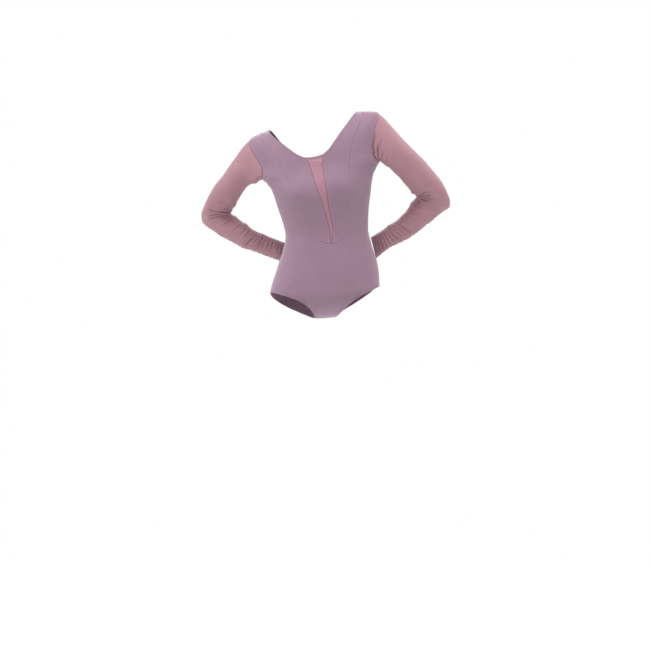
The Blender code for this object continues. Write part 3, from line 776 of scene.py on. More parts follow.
# creases of the sleeves: along the arm from the armhole in mm and the turn round it in degrees
# (0 outer edge, 90 front, 180 inner edge, 270 back), at both ends, then depth and half width in mm
Crease = namedtuple("Crease", "along turn to_along to_turn depth width")
CREASES_RIGHT = [
    # underarm
    Crease(2, 182, 4, 112, 2.2, 2.6),
    Crease(6, 134, 28, 150, 1.9, 3.5),
    Crease(14, 138, 52, 154, 1.1, 3.3),
    Crease(6, 196, 40, 204, 1.1, 4.2),
    Crease(8, 222, 46, 216, 1.5, 3.7),
    Crease(6, 240, 34, 226, 1.4, 3.3),
    # fan from the inner elbow
    Crease(239, 158, 232, 98, 4.4, 3.5),
    Crease(232, 104, 217, 40, 1.9, 2.4),
    Crease(234, 120, 229, 50, 1.4, 2.3),
    Crease(242, 112, 242, 52, 1.9, 2.3),
    Crease(250, 106, 250, 56, 1.6, 2.3),
    Crease(191, 76, 192, 106, 0.9, 2.4),
    Crease(221, 150, 207, 106, 1.3, 2.7),
    Crease(238, 204, 228, 246, 3.5, 3.8),
    Crease(244, 206, 250, 262, 2.3, 3.0),
    Crease(226, 210, 208, 250, 1.6, 3.0),
    Crease(256, 208, 272, 250, 1.6, 2.8),
    # forearm, closer towards the cuff
    Crease(287, 140, 285, 60, 1.5, 3.5),
    Crease(306, 160, 303, 112, 0.9, 3.1),
    Crease(327, 158, 321, 84, 2.1, 3.3),
    Crease(340, 170, 338, 120, 1.0, 2.7),
    Crease(352, 150, 347, 80, 1.8, 3.0),
    Crease(369, 176, 360, 64, 1.6, 3.0),
    Crease(381, 150, 374, 96, 1.1, 2.5),
    Crease(394, 152, 377, 40, 2.2, 3.0),
    Crease(405, 178, 396, 66, 1.8, 2.5),
    Crease(417, 170, 411, 44, 2.4, 2.7),
    Crease(429, 158, 422, 62, 1.9, 2.5),
    Crease(442, 152, 437, 62, 2.2, 2.5),
    Crease(455, 156, 450, 66, 2.2, 2.5),
    Crease(465, 148, 463, 84, 1.8, 2.3),
    Crease(474, 148, 473, 70, 2.2, 2.5),
    Crease(484, 144, 485, 56, 1.9, 2.3),
    Crease(495, 160, 496, 70, 1.3, 2.3),
    # outer side and back of the forearm
    Crease(300, 40, 312, -20, 1.1, 3.5),
    Crease(334, 46, 344, -34, 1.3, 3.3),
    Crease(352, 20, 358, -60, 1.5, 3.1),
    Crease(372, 48, 380, -28, 1.8, 3.0),
    Crease(392, 30, 398, -52, 1.8, 3.0),
    Crease(409, 40, 416, -40, 1.9, 2.7),
    Crease(426, 34, 430, -62, 2.1, 2.7),
    Crease(444, 44, 448, -30, 1.9, 2.5),
    Crease(460, 36, 463, -56, 2.1, 2.5),
    Crease(476, 40, 478, -44, 1.9, 2.5),
    Crease(490, 30, 491, -60, 1.6, 2.3),
    Crease(270, 268, 262, 214, 1.2, 2.8),
    Crease(296, 284, 290, 200, 1.5, 3.5),
    Crease(322, 270, 314, 190, 1.6, 3.3),
    Crease(345, 292, 339, 206, 1.8, 3.1),
    Crease(364, 262, 357, 188, 1.8, 3.0),
    Crease(384, 288, 378, 196, 2.1, 3.0),
    Crease(401, 270, 394, 184, 1.9, 2.7),
    Crease(416, 292, 411, 200, 2.2, 2.7),
    Crease(433, 276, 427, 182, 2.2, 2.5),
    Crease(449, 290, 444, 198, 2.1, 2.5),
    Crease(464, 272, 460, 180, 2.2, 2.5),
    Crease(479, 288, 477, 190, 1.9, 2.5),
    Crease(493, 270, 492, 186, 1.5, 2.3),
]
CREASES_LEFT = [
    # gathers at the armhole, and a fan from the underarm
    Crease(2, 178, 5, 66, 3.0, 2.8),
    Crease(9, 178, 17, 92, 3.2, 2.8),
    Crease(15, 172, 31, 108, 2.0, 2.8),
    Crease(22, 174, 46, 118, 1.5, 2.8),
    Crease(17, 128, 24, 70, 1.2, 2.5),
    Crease(33, 176, 60, 140, 0.9, 2.8),
    Crease(5, 186, 20, 236, 2.2, 3.4),
    Crease(10, 190, 44, 226, 1.6, 3.3),
    Crease(24, 192, 62, 210, 1.1, 3.3),
    # fan from the inner elbow
    Crease(266, 150, 238, 114, 2.8, 2.8),
    Crease(246, 134, 242, 90, 2.3, 2.3),
    Crease(265, 148, 254, 84, 2.8, 2.4),
    Crease(274, 132, 266, 96, 1.7, 2.0),
    Crease(280, 138, 284, 104, 2.6, 3.0),
    Crease(278, 118, 275, 86, 1.4, 2.2),
    Crease(292, 152, 300, 118, 1.1, 3.1),
    Crease(270, 204, 250, 246, 3.3, 3.7),
    Crease(276, 206, 276, 258, 2.5, 3.2),
    Crease(284, 208, 300, 250, 2.1, 3.7),
    Crease(252, 206, 224, 236, 1.4, 3.2),
    # forearm, closer towards the cuff
    Crease(336, 168, 340, 120, 1.0, 3.3),
    Crease(362, 172, 360, 110, 1.2, 3.1),
    Crease(384, 166, 378, 84, 1.1, 3.0),
    Crease(404, 138, 396, 42, 1.5, 3.0),
    Crease(415, 126, 407, 48, 1.5, 2.7),
    Crease(421, 172, 420, 118, 1.4, 2.5),
    Crease(430, 124, 418, 54, 1.4, 2.5),
    Crease(437, 160, 436, 100, 1.3, 2.3),
    Crease(444, 124, 429, 40, 1.9, 2.7),
    Crease(452, 132, 444, 44, 1.9, 2.5),
    Crease(462, 146, 455, 22, 2.4, 2.6),
    Crease(470, 148, 468, 4, 2.6, 2.5),
    Crease(478, 144, 481, 24, 3.0, 2.7),
    Crease(487, 146, 494, 28, 3.0, 2.7),
    Crease(497, 142, 503, 44, 2.4, 2.5),
    # outer side and back of the forearm
    Crease(318, 52, 330, -8, 1.1, 3.5),
    Crease(348, 40, 356, -40, 1.3, 3.3),
    Crease(372, 44, 378, -30, 1.4, 3.1),
    Crease(396, 30, 404, -56, 1.6, 3.0),
    Crease(418, 36, 424, -34, 1.8, 3.0),
    Crease(436, 28, 440, -62, 1.9, 2.7),
    Crease(452, 20, 456, -40, 1.9, 2.5),
    Crease(469, -6, 472, -70, 2.1, 2.5),
    Crease(486, 20, 488, -58, 1.9, 2.5),
    Crease(318, 276, 308, 196, 1.4, 3.5),
    Crease(342, 290, 334, 204, 1.5, 3.3),
    Crease(364, 268, 356, 190, 1.8, 3.1),
    Crease(386, 288, 378, 200, 1.8, 3.0),
    Crease(404, 270, 397, 186, 1.9, 3.0),
    Crease(422, 290, 415, 198, 2.1, 2.7),
    Crease(439, 274, 433, 184, 2.1, 2.5),
    Crease(455, 290, 450, 196, 2.2, 2.5),
    Crease(471, 272, 468, 182, 2.2, 2.5),
    Crease(487, 286, 486, 188, 1.9, 2.5),
]
# soft folds of the body, x and height on the upright form at both ends, depth and half width
Fold = namedtuple("Fold", "side x height to_x to_height depth width")
FOLDS = [
    Fold(-1, -174, -149, -150, -141, 1.8, 4.5),
    Fold(-1, -171, -157, -149, -167, 1.6, 4.5),
    Fold(-1, -163, -176, -144, -184, 0.8, 5.0),
    Fold(-1, 173, -143, 158, -118, 1.5, 5.0),
    Fold(-1, 172, -152, 152, -156, 1.2, 5.0),
    Fold(-1, 128, -258, 102, -314, 1.5, 6.0),
    Fold(-1, 122, -288, 96, -330, 1.0, 5.0),
    Fold(-1, -119, -306, -84, -330, 1.3, 5.5),
    Fold(-1, -120, -326, -98, -344, 0.9, 5.0),
    Fold(-1, -96, -228, -58, -218, 0.9, 6.5),
    Fold(-1, -60, -206, -44, -198, 0.6, 5.0),
    Fold(-1, 138, -196, 118, -236, 0.8, 7.0),
    Fold(-1, 52, -566, 96, -508, 1.0, 8.0),
    Fold(-1, -50, -564, -84, -516, 0.9, 8.0),
    Fold(-1, 34, -560, 58, -500, 0.6, 9.0),
    Fold(-1, -128, -506, -96, -470, 0.6, 10.0),
    Fold(1, 172, -142, 134, -116, 1.8, 6.0),
    Fold(1, 171, -154, 126, -158, 1.5, 6.0),
    Fold(1, 164, -172, 128, -190, 1.0, 7.0),
    Fold(1, -172, -140, -140, -112, 1.7, 6.0),
    Fold(1, -170, -156, -122, -166, 1.5, 6.0),
    Fold(1, -118, -318, 46, -328, 1.8, 9.0),
    Fold(1, -74, -342, 92, -346, 1.4, 8.0),
    Fold(1, 20, -306, 116, -296, 1.1, 8.0),
    Fold(1, -104, -296, -30, -302, 0.9, 8.0),
    Fold(1, 44, -560, 104, -520, 1.2, 7.0),
    Fold(1, -42, -562, -92, -524, 1.2, 7.0),
    Fold(1, 26, -566, 48, -520, 0.8, 8.0),
]
# how high a crease's ridges stand, and how suddenly its ends fade
LIP_SHARE = 1.15
END_POWER = 3
# a seam sinks at its line and stands up softly on both sides
SEAM_DEPTH = 0.8
SEAM_WIDTH = 1.3
RIDGE_PLACE = 2.9
RIDGE_WIDTH = 2.0
PUCKER_LENGTH = 17.0
PUCKER_SHARE = 0.5
# the turned-in edges are pressed under one side of a seam, which stands up more than the other
RIDGE = {"front_body": 0.12, "centre_front_left": 0.6, "centre_front_right": 0.6,
         "v_insert": 0.1, "back": 0.3, "sleeve_right": 0.25, "sleeve_left": 0.25}


def crease_section(row, away, share):
    """the rise of one crease: a trough with a low ridge on both sides, fading at its ends"""
    square = (away / row.width) ** 2
    trough = -(1 - LIP_SHARE * square) * np.exp(-square)
    return row.depth * trough * (1 - np.abs(2 * share - 1) ** END_POWER)


def along_line(x, y, start, end):
    """how far points lie from a line, and their share of the way along it"""
    way = np.subtract(end, start)
    length = way @ way
    share = ((x - start[0]) * way[0] + (y - start[1]) * way[1]) / length
    held = np.clip(share, 0, 1)
    return np.hypot(x - start[0] - held * way[0], y - start[1] - held * way[1]), held


def fold_rise(places, side):
    """how far the folds lift or sink the body's cloth"""
    upright = body(places[:, 0], places[:, 1], side)
    rise = np.zeros(len(places))
    for row in FOLDS:
        if row.side == side:
            away, share = along_line(upright[:, 0], upright[:, 2], (row.x, row.height),
                                     (row.to_x, row.to_height))
            rise += crease_section(row, away, share)
    return rise


def crease_rise(creases, along, turn, girth):
    """how far the creases lift or sink a sleeve"""
    rise = np.zeros(np.broadcast(along, turn).shape)
    for row in creases:
        near = np.interp((row.along + row.to_along) / 2, along[:, 0], girth)
        across = turn_from(row.turn, turn) * near / 360
        end = (row.to_turn - row.turn) * near / 360
        away, share = along_line(along, across, (row.along, 0), (row.to_along, end))
        rise += crease_section(row, away, share)
    return rise


def seam_rise(node, distance, points):
    """how far the cloth sinks and lifts beside a seam"""
    pucker = 1 + PUCKER_SHARE * np.sin(points @ RIM_WAY * 2 * np.pi / PUCKER_LENGTH)
    ridge = RIDGE[node] * pucker * np.exp(-((distance - RIDGE_PLACE) / RIDGE_WIDTH) ** 2)
    return ridge - SEAM_DEPTH * np.exp(-(distance / SEAM_WIDTH) ** 2)


def ease(x):
    """a soft step from 0 to 1"""
    x = np.clip(x, 0, 1)
    return x * x * (3 - 2 * x)


# meshes of the cloth: millimetres between the marks of a seam, how far off a seam that a
# piece hasn't got lies, the digits to which two patches meet, and the fade at a hem's line
SPACING = 0.6
FAR_OFF = 1e3
MEETING_DIGITS = 3
HEM_EDGE = 1.0


def close_cuts(steps, *ends):
    """places between the steps of one stretch, closer together at the ends named"""
    cuts = [np.arange(steps + 1)]
    if "start" in ends:
        cuts.append(np.array(EDGE_STEPS))
    if "end" in ends:
        cuts.append(steps - np.array(EDGE_STEPS))
    return np.sort(np.concatenate(cuts))


def chained(*stretches):
    """cuts of stretches end to end"""
    out = [stretches[0]]
    for cuts in stretches[1:]:
        out.append(out[-1][-1] + cuts[1:])
    return np.concatenate(out)


def recut(patch, rows, columns):
    """a patch read at other rows and columns"""
    below = np.clip(rows.astype(int), 0, patch.shape[0] - 2)
    share = (rows - below)[:, None, None]
    patch = patch[below] * (1 - share) + patch[below + 1] * share
    left = np.clip(columns.astype(int), 0, patch.shape[1] - 2)
    share = (columns - left)[None, :, None]
    return patch[:, left] * (1 - share) + patch[:, left + 1] * share


def gather_patches(patches, side):
    """patches of one piece joined where they share points: places and faces"""
    index = {}
    places, faces = [], []
    for patch in patches:
        points, normals = sheet_points(patch, side)
        flat = patch.reshape(-1, 2)
        keys = [tuple(row) for row in np.round(points.reshape(-1, 3), MEETING_DIGITS)]
        for key, place_ in zip(keys, flat):
            if key not in index:
                index[key] = len(places)
                places.append(place_)
        names = [index[key] for key in keys]
        grid = grid_faces(*points.shape[:2], False)
        turned = facing(points.reshape(-1, 3), normals.reshape(-1, 3), grid)
        faces += [tuple(names[i] for i in face) for face in turned]
    return np.array(places), faces


def front_patches():
    """the front's three patches"""
    columns = close_cuts(PANEL_STEPS, "start", "end")
    upper = recut(side_front_patch(), close_cuts(ARMHOLE_STEPS + SIDE_STEPS, "start"), columns)
    plain = np.arange(2 * PANEL_STEPS + 2)
    lower = recut(lower_front_patch(), close_cuts(HIP_STEPS, "start", "end"),
                  chained(columns, plain, columns))
    return [upper, flipped(upper), lower]


def back_patches():
    """the back's three patches"""
    columns = close_cuts(2 * PANEL_STEPS, "start", "end")
    upper = recut(upper_back_patch(), close_cuts(ARMHOLE_STEPS, "start"), columns)
    lower = recut(lower_back_patch(), close_cuts(SIDE_STEPS + HIP_STEPS, "start", "end"),
                  chained(columns, np.arange(SCOOP_STEPS + 1), columns))
    return [upper, flipped(upper), lower]


def centre_patch():
    """the panel beside the insert, wearer's left"""
    return recut(centre_front_patch(), close_cuts(ARMHOLE_STEPS + SIDE_STEPS, "start", "end"),
                 close_cuts(PANEL_STEPS, "start", "end"))


def sheer_patch():
    """the insert"""
    rows = close_cuts(ARMHOLE_STEPS + SIDE_STEPS - NECK_STEPS, "start", "end")
    return recut(insert_patch(), rows, close_cuts(INSERT_STEPS, "start", "end"))


def insert_top():
    """the upper edge of the insert, right to left"""
    return insert_patch()[0]


def side_line():
    """the whole side seam on the wearer's left"""
    return side_seam(UNDERARM.height, LEG_SIDE, SIDE_STEPS + HIP_STEPS)


def both(line):
    """a line and its mirror image"""
    return [line, mirror(line)]


def evenly(points):
    """points along a line at a steady spacing"""
    along = run_along(points)
    wanted = np.linspace(0, along[-1], max(int(along[-1] / SPACING), 1) + 1)
    return read_at(wanted, along, points)


def distance_to(points, lines):
    """each point's distance to the nearest of some lines"""
    if not lines:
        return np.full(len(points), FAR_OFF)
    marks = np.concatenate([evenly(line) for line in lines])
    tree = KDTree(len(marks))
    for i, mark in enumerate(marks):
        tree.insert(mark, i)
    tree.balance()
    return np.array([tree.find(point)[2] for point in points])


def worn_lines(lines, side):
    """lines of places as points in the worn pose"""
    return [sheet_points(line, side)[0] for line in lines]


def wall(points, ways, faces, thickness, hem):
    """a closed thin shell of a sheet, with the extra layer of a hem on its inner side"""
    count = len(points)
    extra = HEM_EXTRA * ease(HEM_WIDTH + HEM_EDGE - hem)
    outer = points + ways * thickness / 2
    inner = points - ways * (thickness / 2 + extra[:, None])
    solid = [tuple(face) for face in faces]
    solid += [tuple(i + count for i in face[::-1]) for face in faces]
    for a, b in open_edges(faces):
        solid += rim(a, b, count, points[a] @ RIM_WAY > points[b] @ RIM_WAY)
    return np.concatenate([outer, inner]), solid


def placed(name, data):
    """a new object in the scene"""
    holder = bpy.data.objects.new(name, data)
    bpy.context.scene.collection.objects.link(holder)
    return holder


def cloth_object(name, points, faces, material, grain, notes):
    """a named piece with its grain as a UV map and its notes as attributes, on both faces"""
    mesh = bpy.data.meshes.new(name)
    mesh.from_pydata((points * MM).tolist(), [], faces)
    mesh.update()
    mesh.materials.append(material)
    mesh.polygons.foreach_set("use_smooth", [True] * len(mesh.polygons))
    write_grain(mesh, np.tile(grain, (2, 1)))
    for note, values in notes.items():
        layer = mesh.attributes.new(note, "FLOAT", "POINT")
        layer.data.foreach_set("value", np.tile(np.ravel(values), 2).astype(np.float32))
    return placed(name, mesh)


def read_numbers(items, name):
    """one whole number of every item in a mesh"""
    values = np.empty(len(items), np.int32)
    items.foreach_get(name, values)
    return values


def write_grain(mesh, grain):
    """the grain in millimetres as a UV map, unbroken where a sleeve's grid closes on itself"""
    values = grain[read_numbers(mesh.loops, "vertex_index")].astype(np.float32)
    starts = read_numbers(mesh.polygons, "loop_start")
    width = np.ptp(grain[:, 0])
    owner = np.repeat(np.arange(len(starts)), read_numbers(mesh.polygons, "loop_total"))
    top = np.maximum.reduceat(values[:, 0], starts)[owner]
    wrapped = top - values[:, 0] > width / 2
    values[wrapped, 0] += width * (1 + 1 / (2 * ARMHOLE_STEPS - 1))
    mesh.uv_layers.new(name="grain").data.foreach_set("uv", values.ravel())


# materials
def knob_sum(operation, turned=False):
    """what one sign does between a knob and a number or another knob"""
    def result(knob, other):
        first, second = (other, knob) if turned else (knob, other)
        return knob.recipe.sum(operation, first, second)
    return result


class Knob:
    """a value inside a material that takes part in sums"""

    def __init__(self, recipe, socket):
        self.recipe = recipe
        self.socket = socket

    __add__ = knob_sum("ADD")
    __radd__ = knob_sum("ADD", True)
    __sub__ = knob_sum("SUBTRACT")
    __rsub__ = knob_sum("SUBTRACT", True)
    __mul__ = knob_sum("MULTIPLY")
    __truediv__ = knob_sum("DIVIDE")


def new_node(tree, kind, settings):
    """a node of a tree with its settings made"""
    new = tree.nodes.new(kind)
    for name, value in (settings or {}).items():
        setattr(new, name, value)
    return new


class Recipe:
    """a material and the nodes in it"""

    def __init__(self, name):
        self.material = bpy.data.materials.new(name)
        self.material.use_nodes = True
        self.tree = self.material.node_tree
        self.tree.nodes.clear()

    def node(self, kind, settings=None, inputs=None, output=0):
        """a node with its settings made first and then its sockets, given back as a knob"""
        new = new_node(self.tree, kind, settings)
        for name, value in (inputs or {}).items():
            self.fill(new.inputs[name], value)
        return Knob(self, new.outputs[output]) if len(new.outputs) else None

    def fill(self, target, value):
        """a link, number or colour into a socket"""
        if isinstance(value, Knob):
            self.tree.links.new(value.socket, target)
        elif target.type == "RGBA":
            target.default_value = (*value, 1.0) if np.ndim(value) else (value, value, value, 1.0)
        elif target.type == "VECTOR" and not np.ndim(value):
            target.default_value = (value, value, value)
        else:
            target.default_value = value

    def sum(self, operation, first, second):
        """a sum of knobs and numbers, in the nodes that suit their kind"""
        kinds = {knob.socket.type for knob in (first, second) if isinstance(knob, Knob)}
        if "RGBA" in kinds:
            return self.node("ShaderNodeMix", {"data_type": "RGBA", "blend_type": operation},
                             {0: 1.0, 6: first, 7: second}, 2)
        if "VECTOR" in kinds:
            return self.node("ShaderNodeVectorMath", {"operation": operation},
                             {0: first, 1: second})
        return self.node("ShaderNodeMath", {"operation": operation}, {0: first, 1: second})

    def blend(self, share, first, second):
        """from one colour to another"""
        return self.node("ShaderNodeMix", {"data_type": "RGBA"}, {0: share, 6: first, 7: second}, 2)

    def wave(self, turns):
        """a wave from 0 to 1"""
        return self.sum("SINE", turns * (2 * np.pi), 0.0) * 0.5 + 0.5

    def soft(self, value, low, high):
        """a soft step from 0 at low to 1 at high"""
        return self.node("ShaderNodeMapRange", {"interpolation_type": "SMOOTHSTEP"},
                         {"Value": value, "From Min": low, "From Max": high})

    def noise(self, scale, detail=2.0):
        """a cloudy pattern in the piece's own space, its scale in patches a metre"""
        place_ = self.node("ShaderNodeTexCoord", output="Object")
        return self.node("ShaderNodeTexNoise", None,
                         {"Vector": place_, "Scale": scale, "Detail": detail, "Roughness": 0.55})

    def note(self, name):
        """an attribute of the piece"""
        return self.node("ShaderNodeAttribute", {"attribute_name": name}, output="Fac")

    def near(self, name, low, high):
        """1 close to a seam or hem and 0 further off"""
        return 1.0 - self.soft(self.note(name), low, high)

    def layered(self, shade, features, layers):
        """a colour with its features laid over it one after another"""
        for layer in layers:
            shade = self.blend(features[layer.feature] * layer.share, shade, layer.colour)
        return shade

    def bump(self, height, strength, distance):
        """a relief of the surface, its distance in metres"""
        return self.node("ShaderNodeBump", None,
                         {"Height": height, "Strength": strength, "Distance": distance})

    def grain(self):
        """millimetres across and along the cloth's grain"""
        flat = self.node("ShaderNodeUVMap", {"uv_map": "grain"})
        split = self.tree.nodes.new("ShaderNodeSeparateXYZ")
        self.fill(split.inputs[0], flat)
        return Knob(self, split.outputs["X"]), Knob(self, split.outputs["Y"])

    def finish(self, inputs):
        """the surface"""
        surface = self.node("ShaderNodeBsdfPrincipled", None, inputs)
        self.node("ShaderNodeOutputMaterial", None, {"Surface": surface})
        return self.material


# colours of each cloth: plain; darker, for its own darker tone and for shade painted into its
# creases, knit seams and cuffs; and lighter, for its loops and holes and for highlight painted
# beside its seams and along its hems
KNIT_COLOUR = (0.262, 0.163, 0.226)
KNIT_DARK_AND_SHADE = (0.165, 0.098, 0.142)
KNIT_LIGHT_AND_HIGHLIGHT = (0.330, 0.215, 0.290)
MESH_COLOUR = (0.455, 0.242, 0.285)
INSERT_COLOUR = (0.440, 0.222, 0.285)
MESH_BUNCHED = (0.400, 0.210, 0.254)
MESH_DARK_AND_SHADE = (0.130, 0.060, 0.082)
MESH_PALE = (0.380, 0.215, 0.255)
THREAD_COLOUR = (0.215, 0.130, 0.185)
# how far each feature turns the colour, one after another
Layer = namedtuple("Layer", "feature share colour")
KNIT_LAYERS = [
    Layer("cloud", 0.14, KNIT_DARK_AND_SHADE),
    Layer("stitch", 0.12, KNIT_LIGHT_AND_HIGHLIGHT),
    Layer("fleck", 0.10, KNIT_DARK_AND_SHADE),
    # painted shade in the folds, darkest where they sink deepest
    Layer("sunk", 0.35, KNIT_DARK_AND_SHADE),
    # painted highlight on the raised flank beside a seam
    Layer("flank", 0.42, KNIT_LIGHT_AND_HIGHLIGHT),
    # a dark line along each seam, painted shade of its trough
    Layer("seam", 0.68, KNIT_DARK_AND_SHADE),
    # painted highlight along a hem's folded edge
    Layer("edge", 0.35, KNIT_LIGHT_AND_HIGHLIGHT),
]
MESH_LAYERS = [
    Layer("cloud", 0.10, MESH_DARK_AND_SHADE),
    Layer("hole", 0.12, MESH_PALE),
    # painted shade in the creases
    Layer("sunk", 0.72, MESH_DARK_AND_SHADE),
    # darker near the cuffs: partly the net bunched denser, partly painted shadow of the torso
    Layer("cuff", 0.40, MESH_DARK_AND_SHADE),
    Layer("hem", 0.25, MESH_DARK_AND_SHADE),
    Layer("seam", 0.75, MESH_DARK_AND_SHADE),
]
# how far the plain net covers what is behind it, and what each feature adds
MESH_ALPHA = 0.62
MESH_CLOSING = {"yarn": 0.10, "bunch": 0.10, "sunk": 0.25, "hem": 0.18, "seam": 0.25}
# the knit's columns and rows of loops and the cell of the net, in millimetres
WALE = 0.8
COURSE = 0.62
LOOP_SHIFT = 0.5
WALE_SHARE = 0.6
COURSE_SHARE = 0.4
MESH_CELL = 1.5
# sizes of the cloudy patterns, in patches a metre
KNIT_CLOUDS = 14.0
MESH_CLOUDS = 16.0
FLECKS = 900.0
PLIES = 2600.0
CLOUD_EDGES = (0.3, 0.7)
FLECK_HEIGHT = 0.6
# where a seam's dark line (on the knit, painted shade of its trough), its painted ridge highlight
# and a hem's painted edge highlight fade, in millimetres
SEAM_LINE = (0.3, 1.6)
SEAM_HIGHLIGHT = (2.4, 4.6)
MESH_SEAM_LINE = (0.4, 2.2)
HEM_HIGHLIGHT_LINE = (0.0, 1.4)
HEM_FADE = 1.5
CUFF_REACH = 55.0


def knit_material():
    """matte mauve stretch jersey with fine upright wales, painted shade in its folds and seams and
    painted highlight by its seams and hems
    """
    make = Recipe("mauve_stretch_knit")
    across, down = make.grain()
    wale = make.wave(across / WALE)
    loop = make.wave(down / COURSE + wale * LOOP_SHIFT)
    stitch = wale * WALE_SHARE + loop * COURSE_SHARE
    cloud = make.noise(KNIT_CLOUDS)
    fleck = make.noise(FLECKS, 1.0)
    # the seam's dark line, painted shade of its trough
    seam = make.near("seam", *SEAM_LINE)
    features = {
        "cloud": make.soft(cloud, *CLOUD_EDGES),
        "stitch": stitch,
        "fleck": fleck,
        # painted shade in the folds
        "sunk": make.note("sunk"),
        # painted highlight beside a seam
        "flank": make.near("seam", *SEAM_HIGHLIGHT) * (1.0 - seam),
        "seam": seam,
        # painted highlight along a hem's folded edge
        "edge": make.near("hem", *HEM_HIGHLIGHT_LINE),
    }
    shade = make.layered(KNIT_COLOUR, features, KNIT_LAYERS)
    bump = make.bump(stitch + fleck * FLECK_HEIGHT, strength=0.35, distance=0.0001)
    return make.finish({
        "Base Color": shade,
        "Roughness": cloud * 0.08 + 0.66,
        "Normal": bump,
        "Sheen Weight": 0.35,
        "Sheen Roughness": 0.45,
        "Sheen Tint": (0.92, 0.80, 0.90),
        "Specular IOR Level": 0.30,
    })


def mesh_material(name, colour):
    """sheer rose-mauve stretch net, denser where it bunches and at its edges, with painted shade in
    its creases and near its cuffs
    """
    make = Recipe(name)
    across, down = make.grain()
    hole = make.wave((across + down) / MESH_CELL) * make.wave((across - down) / MESH_CELL)
    cloud = make.noise(MESH_CLOUDS)
    bunch = make.note("bunch")
    features = {
        "cloud": make.soft(cloud, *CLOUD_EDGES),
        "hole": hole,
        "yarn": 1.0 - hole,
        "bunch": bunch,
        # painted shade in the creases; the same mask also thickens the net's cover there
        "sunk": make.note("sunk"),
        # partly denser bunched net, partly painted shadow of the torso near the cuffs
        "cuff": make.near("hem", HEM_WIDTH, CUFF_REACH) * bunch,
        "hem": make.near("hem", HEM_WIDTH - HEM_FADE, HEM_WIDTH),
        "seam": make.near("seam", *MESH_SEAM_LINE),
    }
    shade = make.layered(make.blend(bunch, colour, MESH_BUNCHED), features, MESH_LAYERS)
    cover = MESH_ALPHA
    for feature, share in MESH_CLOSING.items():
        cover = cover + features[feature] * share
    cover = make.sum("MINIMUM", cover, 1.0)
    bump = make.bump(features["yarn"], strength=0.3, distance=0.00012)
    return make.finish({
        "Base Color": shade,
        "Roughness": cloud * 0.10 + 0.56,
        "Alpha": cover,
        "Normal": bump,
        "Sheen Weight": 0.30,
        "Sheen Roughness": 0.40,
        "Sheen Tint": (0.95, 0.80, 0.86),
        "Specular IOR Level": 0.35,
    })


def thread_material():
    """twisted sewing thread in the cloth's mauve"""
    make = Recipe("mauve_thread")
    ply = make.noise(PLIES, 1.0)
    shade = make.blend(ply, THREAD_COLOUR, KNIT_LIGHT_AND_HIGHLIGHT)
    bump = make.bump(ply, strength=0.4, distance=0.00008)
    return make.finish({"Base Color": shade, "Roughness": ply * 0.1 + 0.5, "Normal": bump,
                        "Sheen Weight": 0.2})


# stitches: rows of short threads along a line, made by one tree with named sizes
STITCH_PITCH = 3.0
STITCH_LENGTH = 2.3
STITCH_RADIUS = 0.28
STITCH_ROWS = [4.0, 8.0]
STITCH_SEED = 7
STITCH_SIZES = {"Pitch": STITCH_PITCH * MM, "Length": STITCH_LENGTH * MM,
                "Radius": STITCH_RADIUS * MM, "Seed": STITCH_SEED}
Socket = namedtuple("Socket", "name way kind")
STITCH_SOCKETS = [
    Socket("Rows", "INPUT", "NodeSocketGeometry"),
    Socket("Pitch", "INPUT", "NodeSocketFloat"),
    Socket("Length", "INPUT", "NodeSocketFloat"),
    Socket("Radius", "INPUT", "NodeSocketFloat"),
    Socket("Seed", "INPUT", "NodeSocketInt"),
    Socket("Thread", "INPUT", "NodeSocketMaterial"),
    Socket("Stitches", "OUTPUT", "NodeSocketGeometry"),
]


def stitch_tree():
    """threads laid end to end along every line of the geometry"""
    tree = bpy.data.node_groups.new("stitch_rows", "GeometryNodeTree")
    for row in STITCH_SOCKETS:
        tree.interface.new_socket(name=row.name, in_out=row.way, socket_type=row.kind)

    def node(kind, settings=None, inputs=None):
        new = new_node(tree, kind, settings)
        for name, value in (inputs or {}).items():
            if isinstance(value, bpy.types.NodeSocket):
                tree.links.new(value, new.inputs[name])
            else:
                new.inputs[name].default_value = value
        return new

    given = node("NodeGroupInput")
    row = node("GeometryNodeResampleCurve", {"mode": "LENGTH"},
               {"Curve": given.outputs["Rows"], "Length": given.outputs["Pitch"]})
    half = node("ShaderNodeMath", {"operation": "MULTIPLY"}, {0: given.outputs["Length"], 1: 0.5})
    size = node("ShaderNodeCombineXYZ", None, {"X": given.outputs["Radius"],
                                               "Y": given.outputs["Radius"],
                                               "Z": half.outputs[0]})
    bead = node("GeometryNodeMeshUVSphere", None, {"Segments": 6, "Rings": 4, "Radius": 1.0})
    thread = node("GeometryNodeTransform", None,
                  {"Geometry": bead.outputs["Mesh"], "Scale": size.outputs[0]})
    tangent = node("GeometryNodeInputTangent")
    turned = node("FunctionNodeAlignRotationToVector", {"axis": "Z"},
                  {"Vector": tangent.outputs[0]})
    vary = node("FunctionNodeRandomValue", {"data_type": "FLOAT"},
                {"Min": 0.9, "Max": 1.08, "Seed": given.outputs["Seed"]})
    laid = node("GeometryNodeInstanceOnPoints", None,
                {"Points": row.outputs["Curve"], "Instance": thread.outputs["Geometry"],
                 "Rotation": turned.outputs["Rotation"], "Scale": vary.outputs[1]})
    real = node("GeometryNodeRealizeInstances", None, {"Geometry": laid.outputs["Instances"]})
    round_ = node("GeometryNodeSetShadeSmooth", None, {"Geometry": real.outputs["Geometry"]})
    done = node("GeometryNodeSetMaterial", None, {"Geometry": round_.outputs["Geometry"],
                                                  "Material": given.outputs["Thread"]})
    node("NodeGroupOutput", None, {"Stitches": done.outputs["Geometry"]})
    return tree


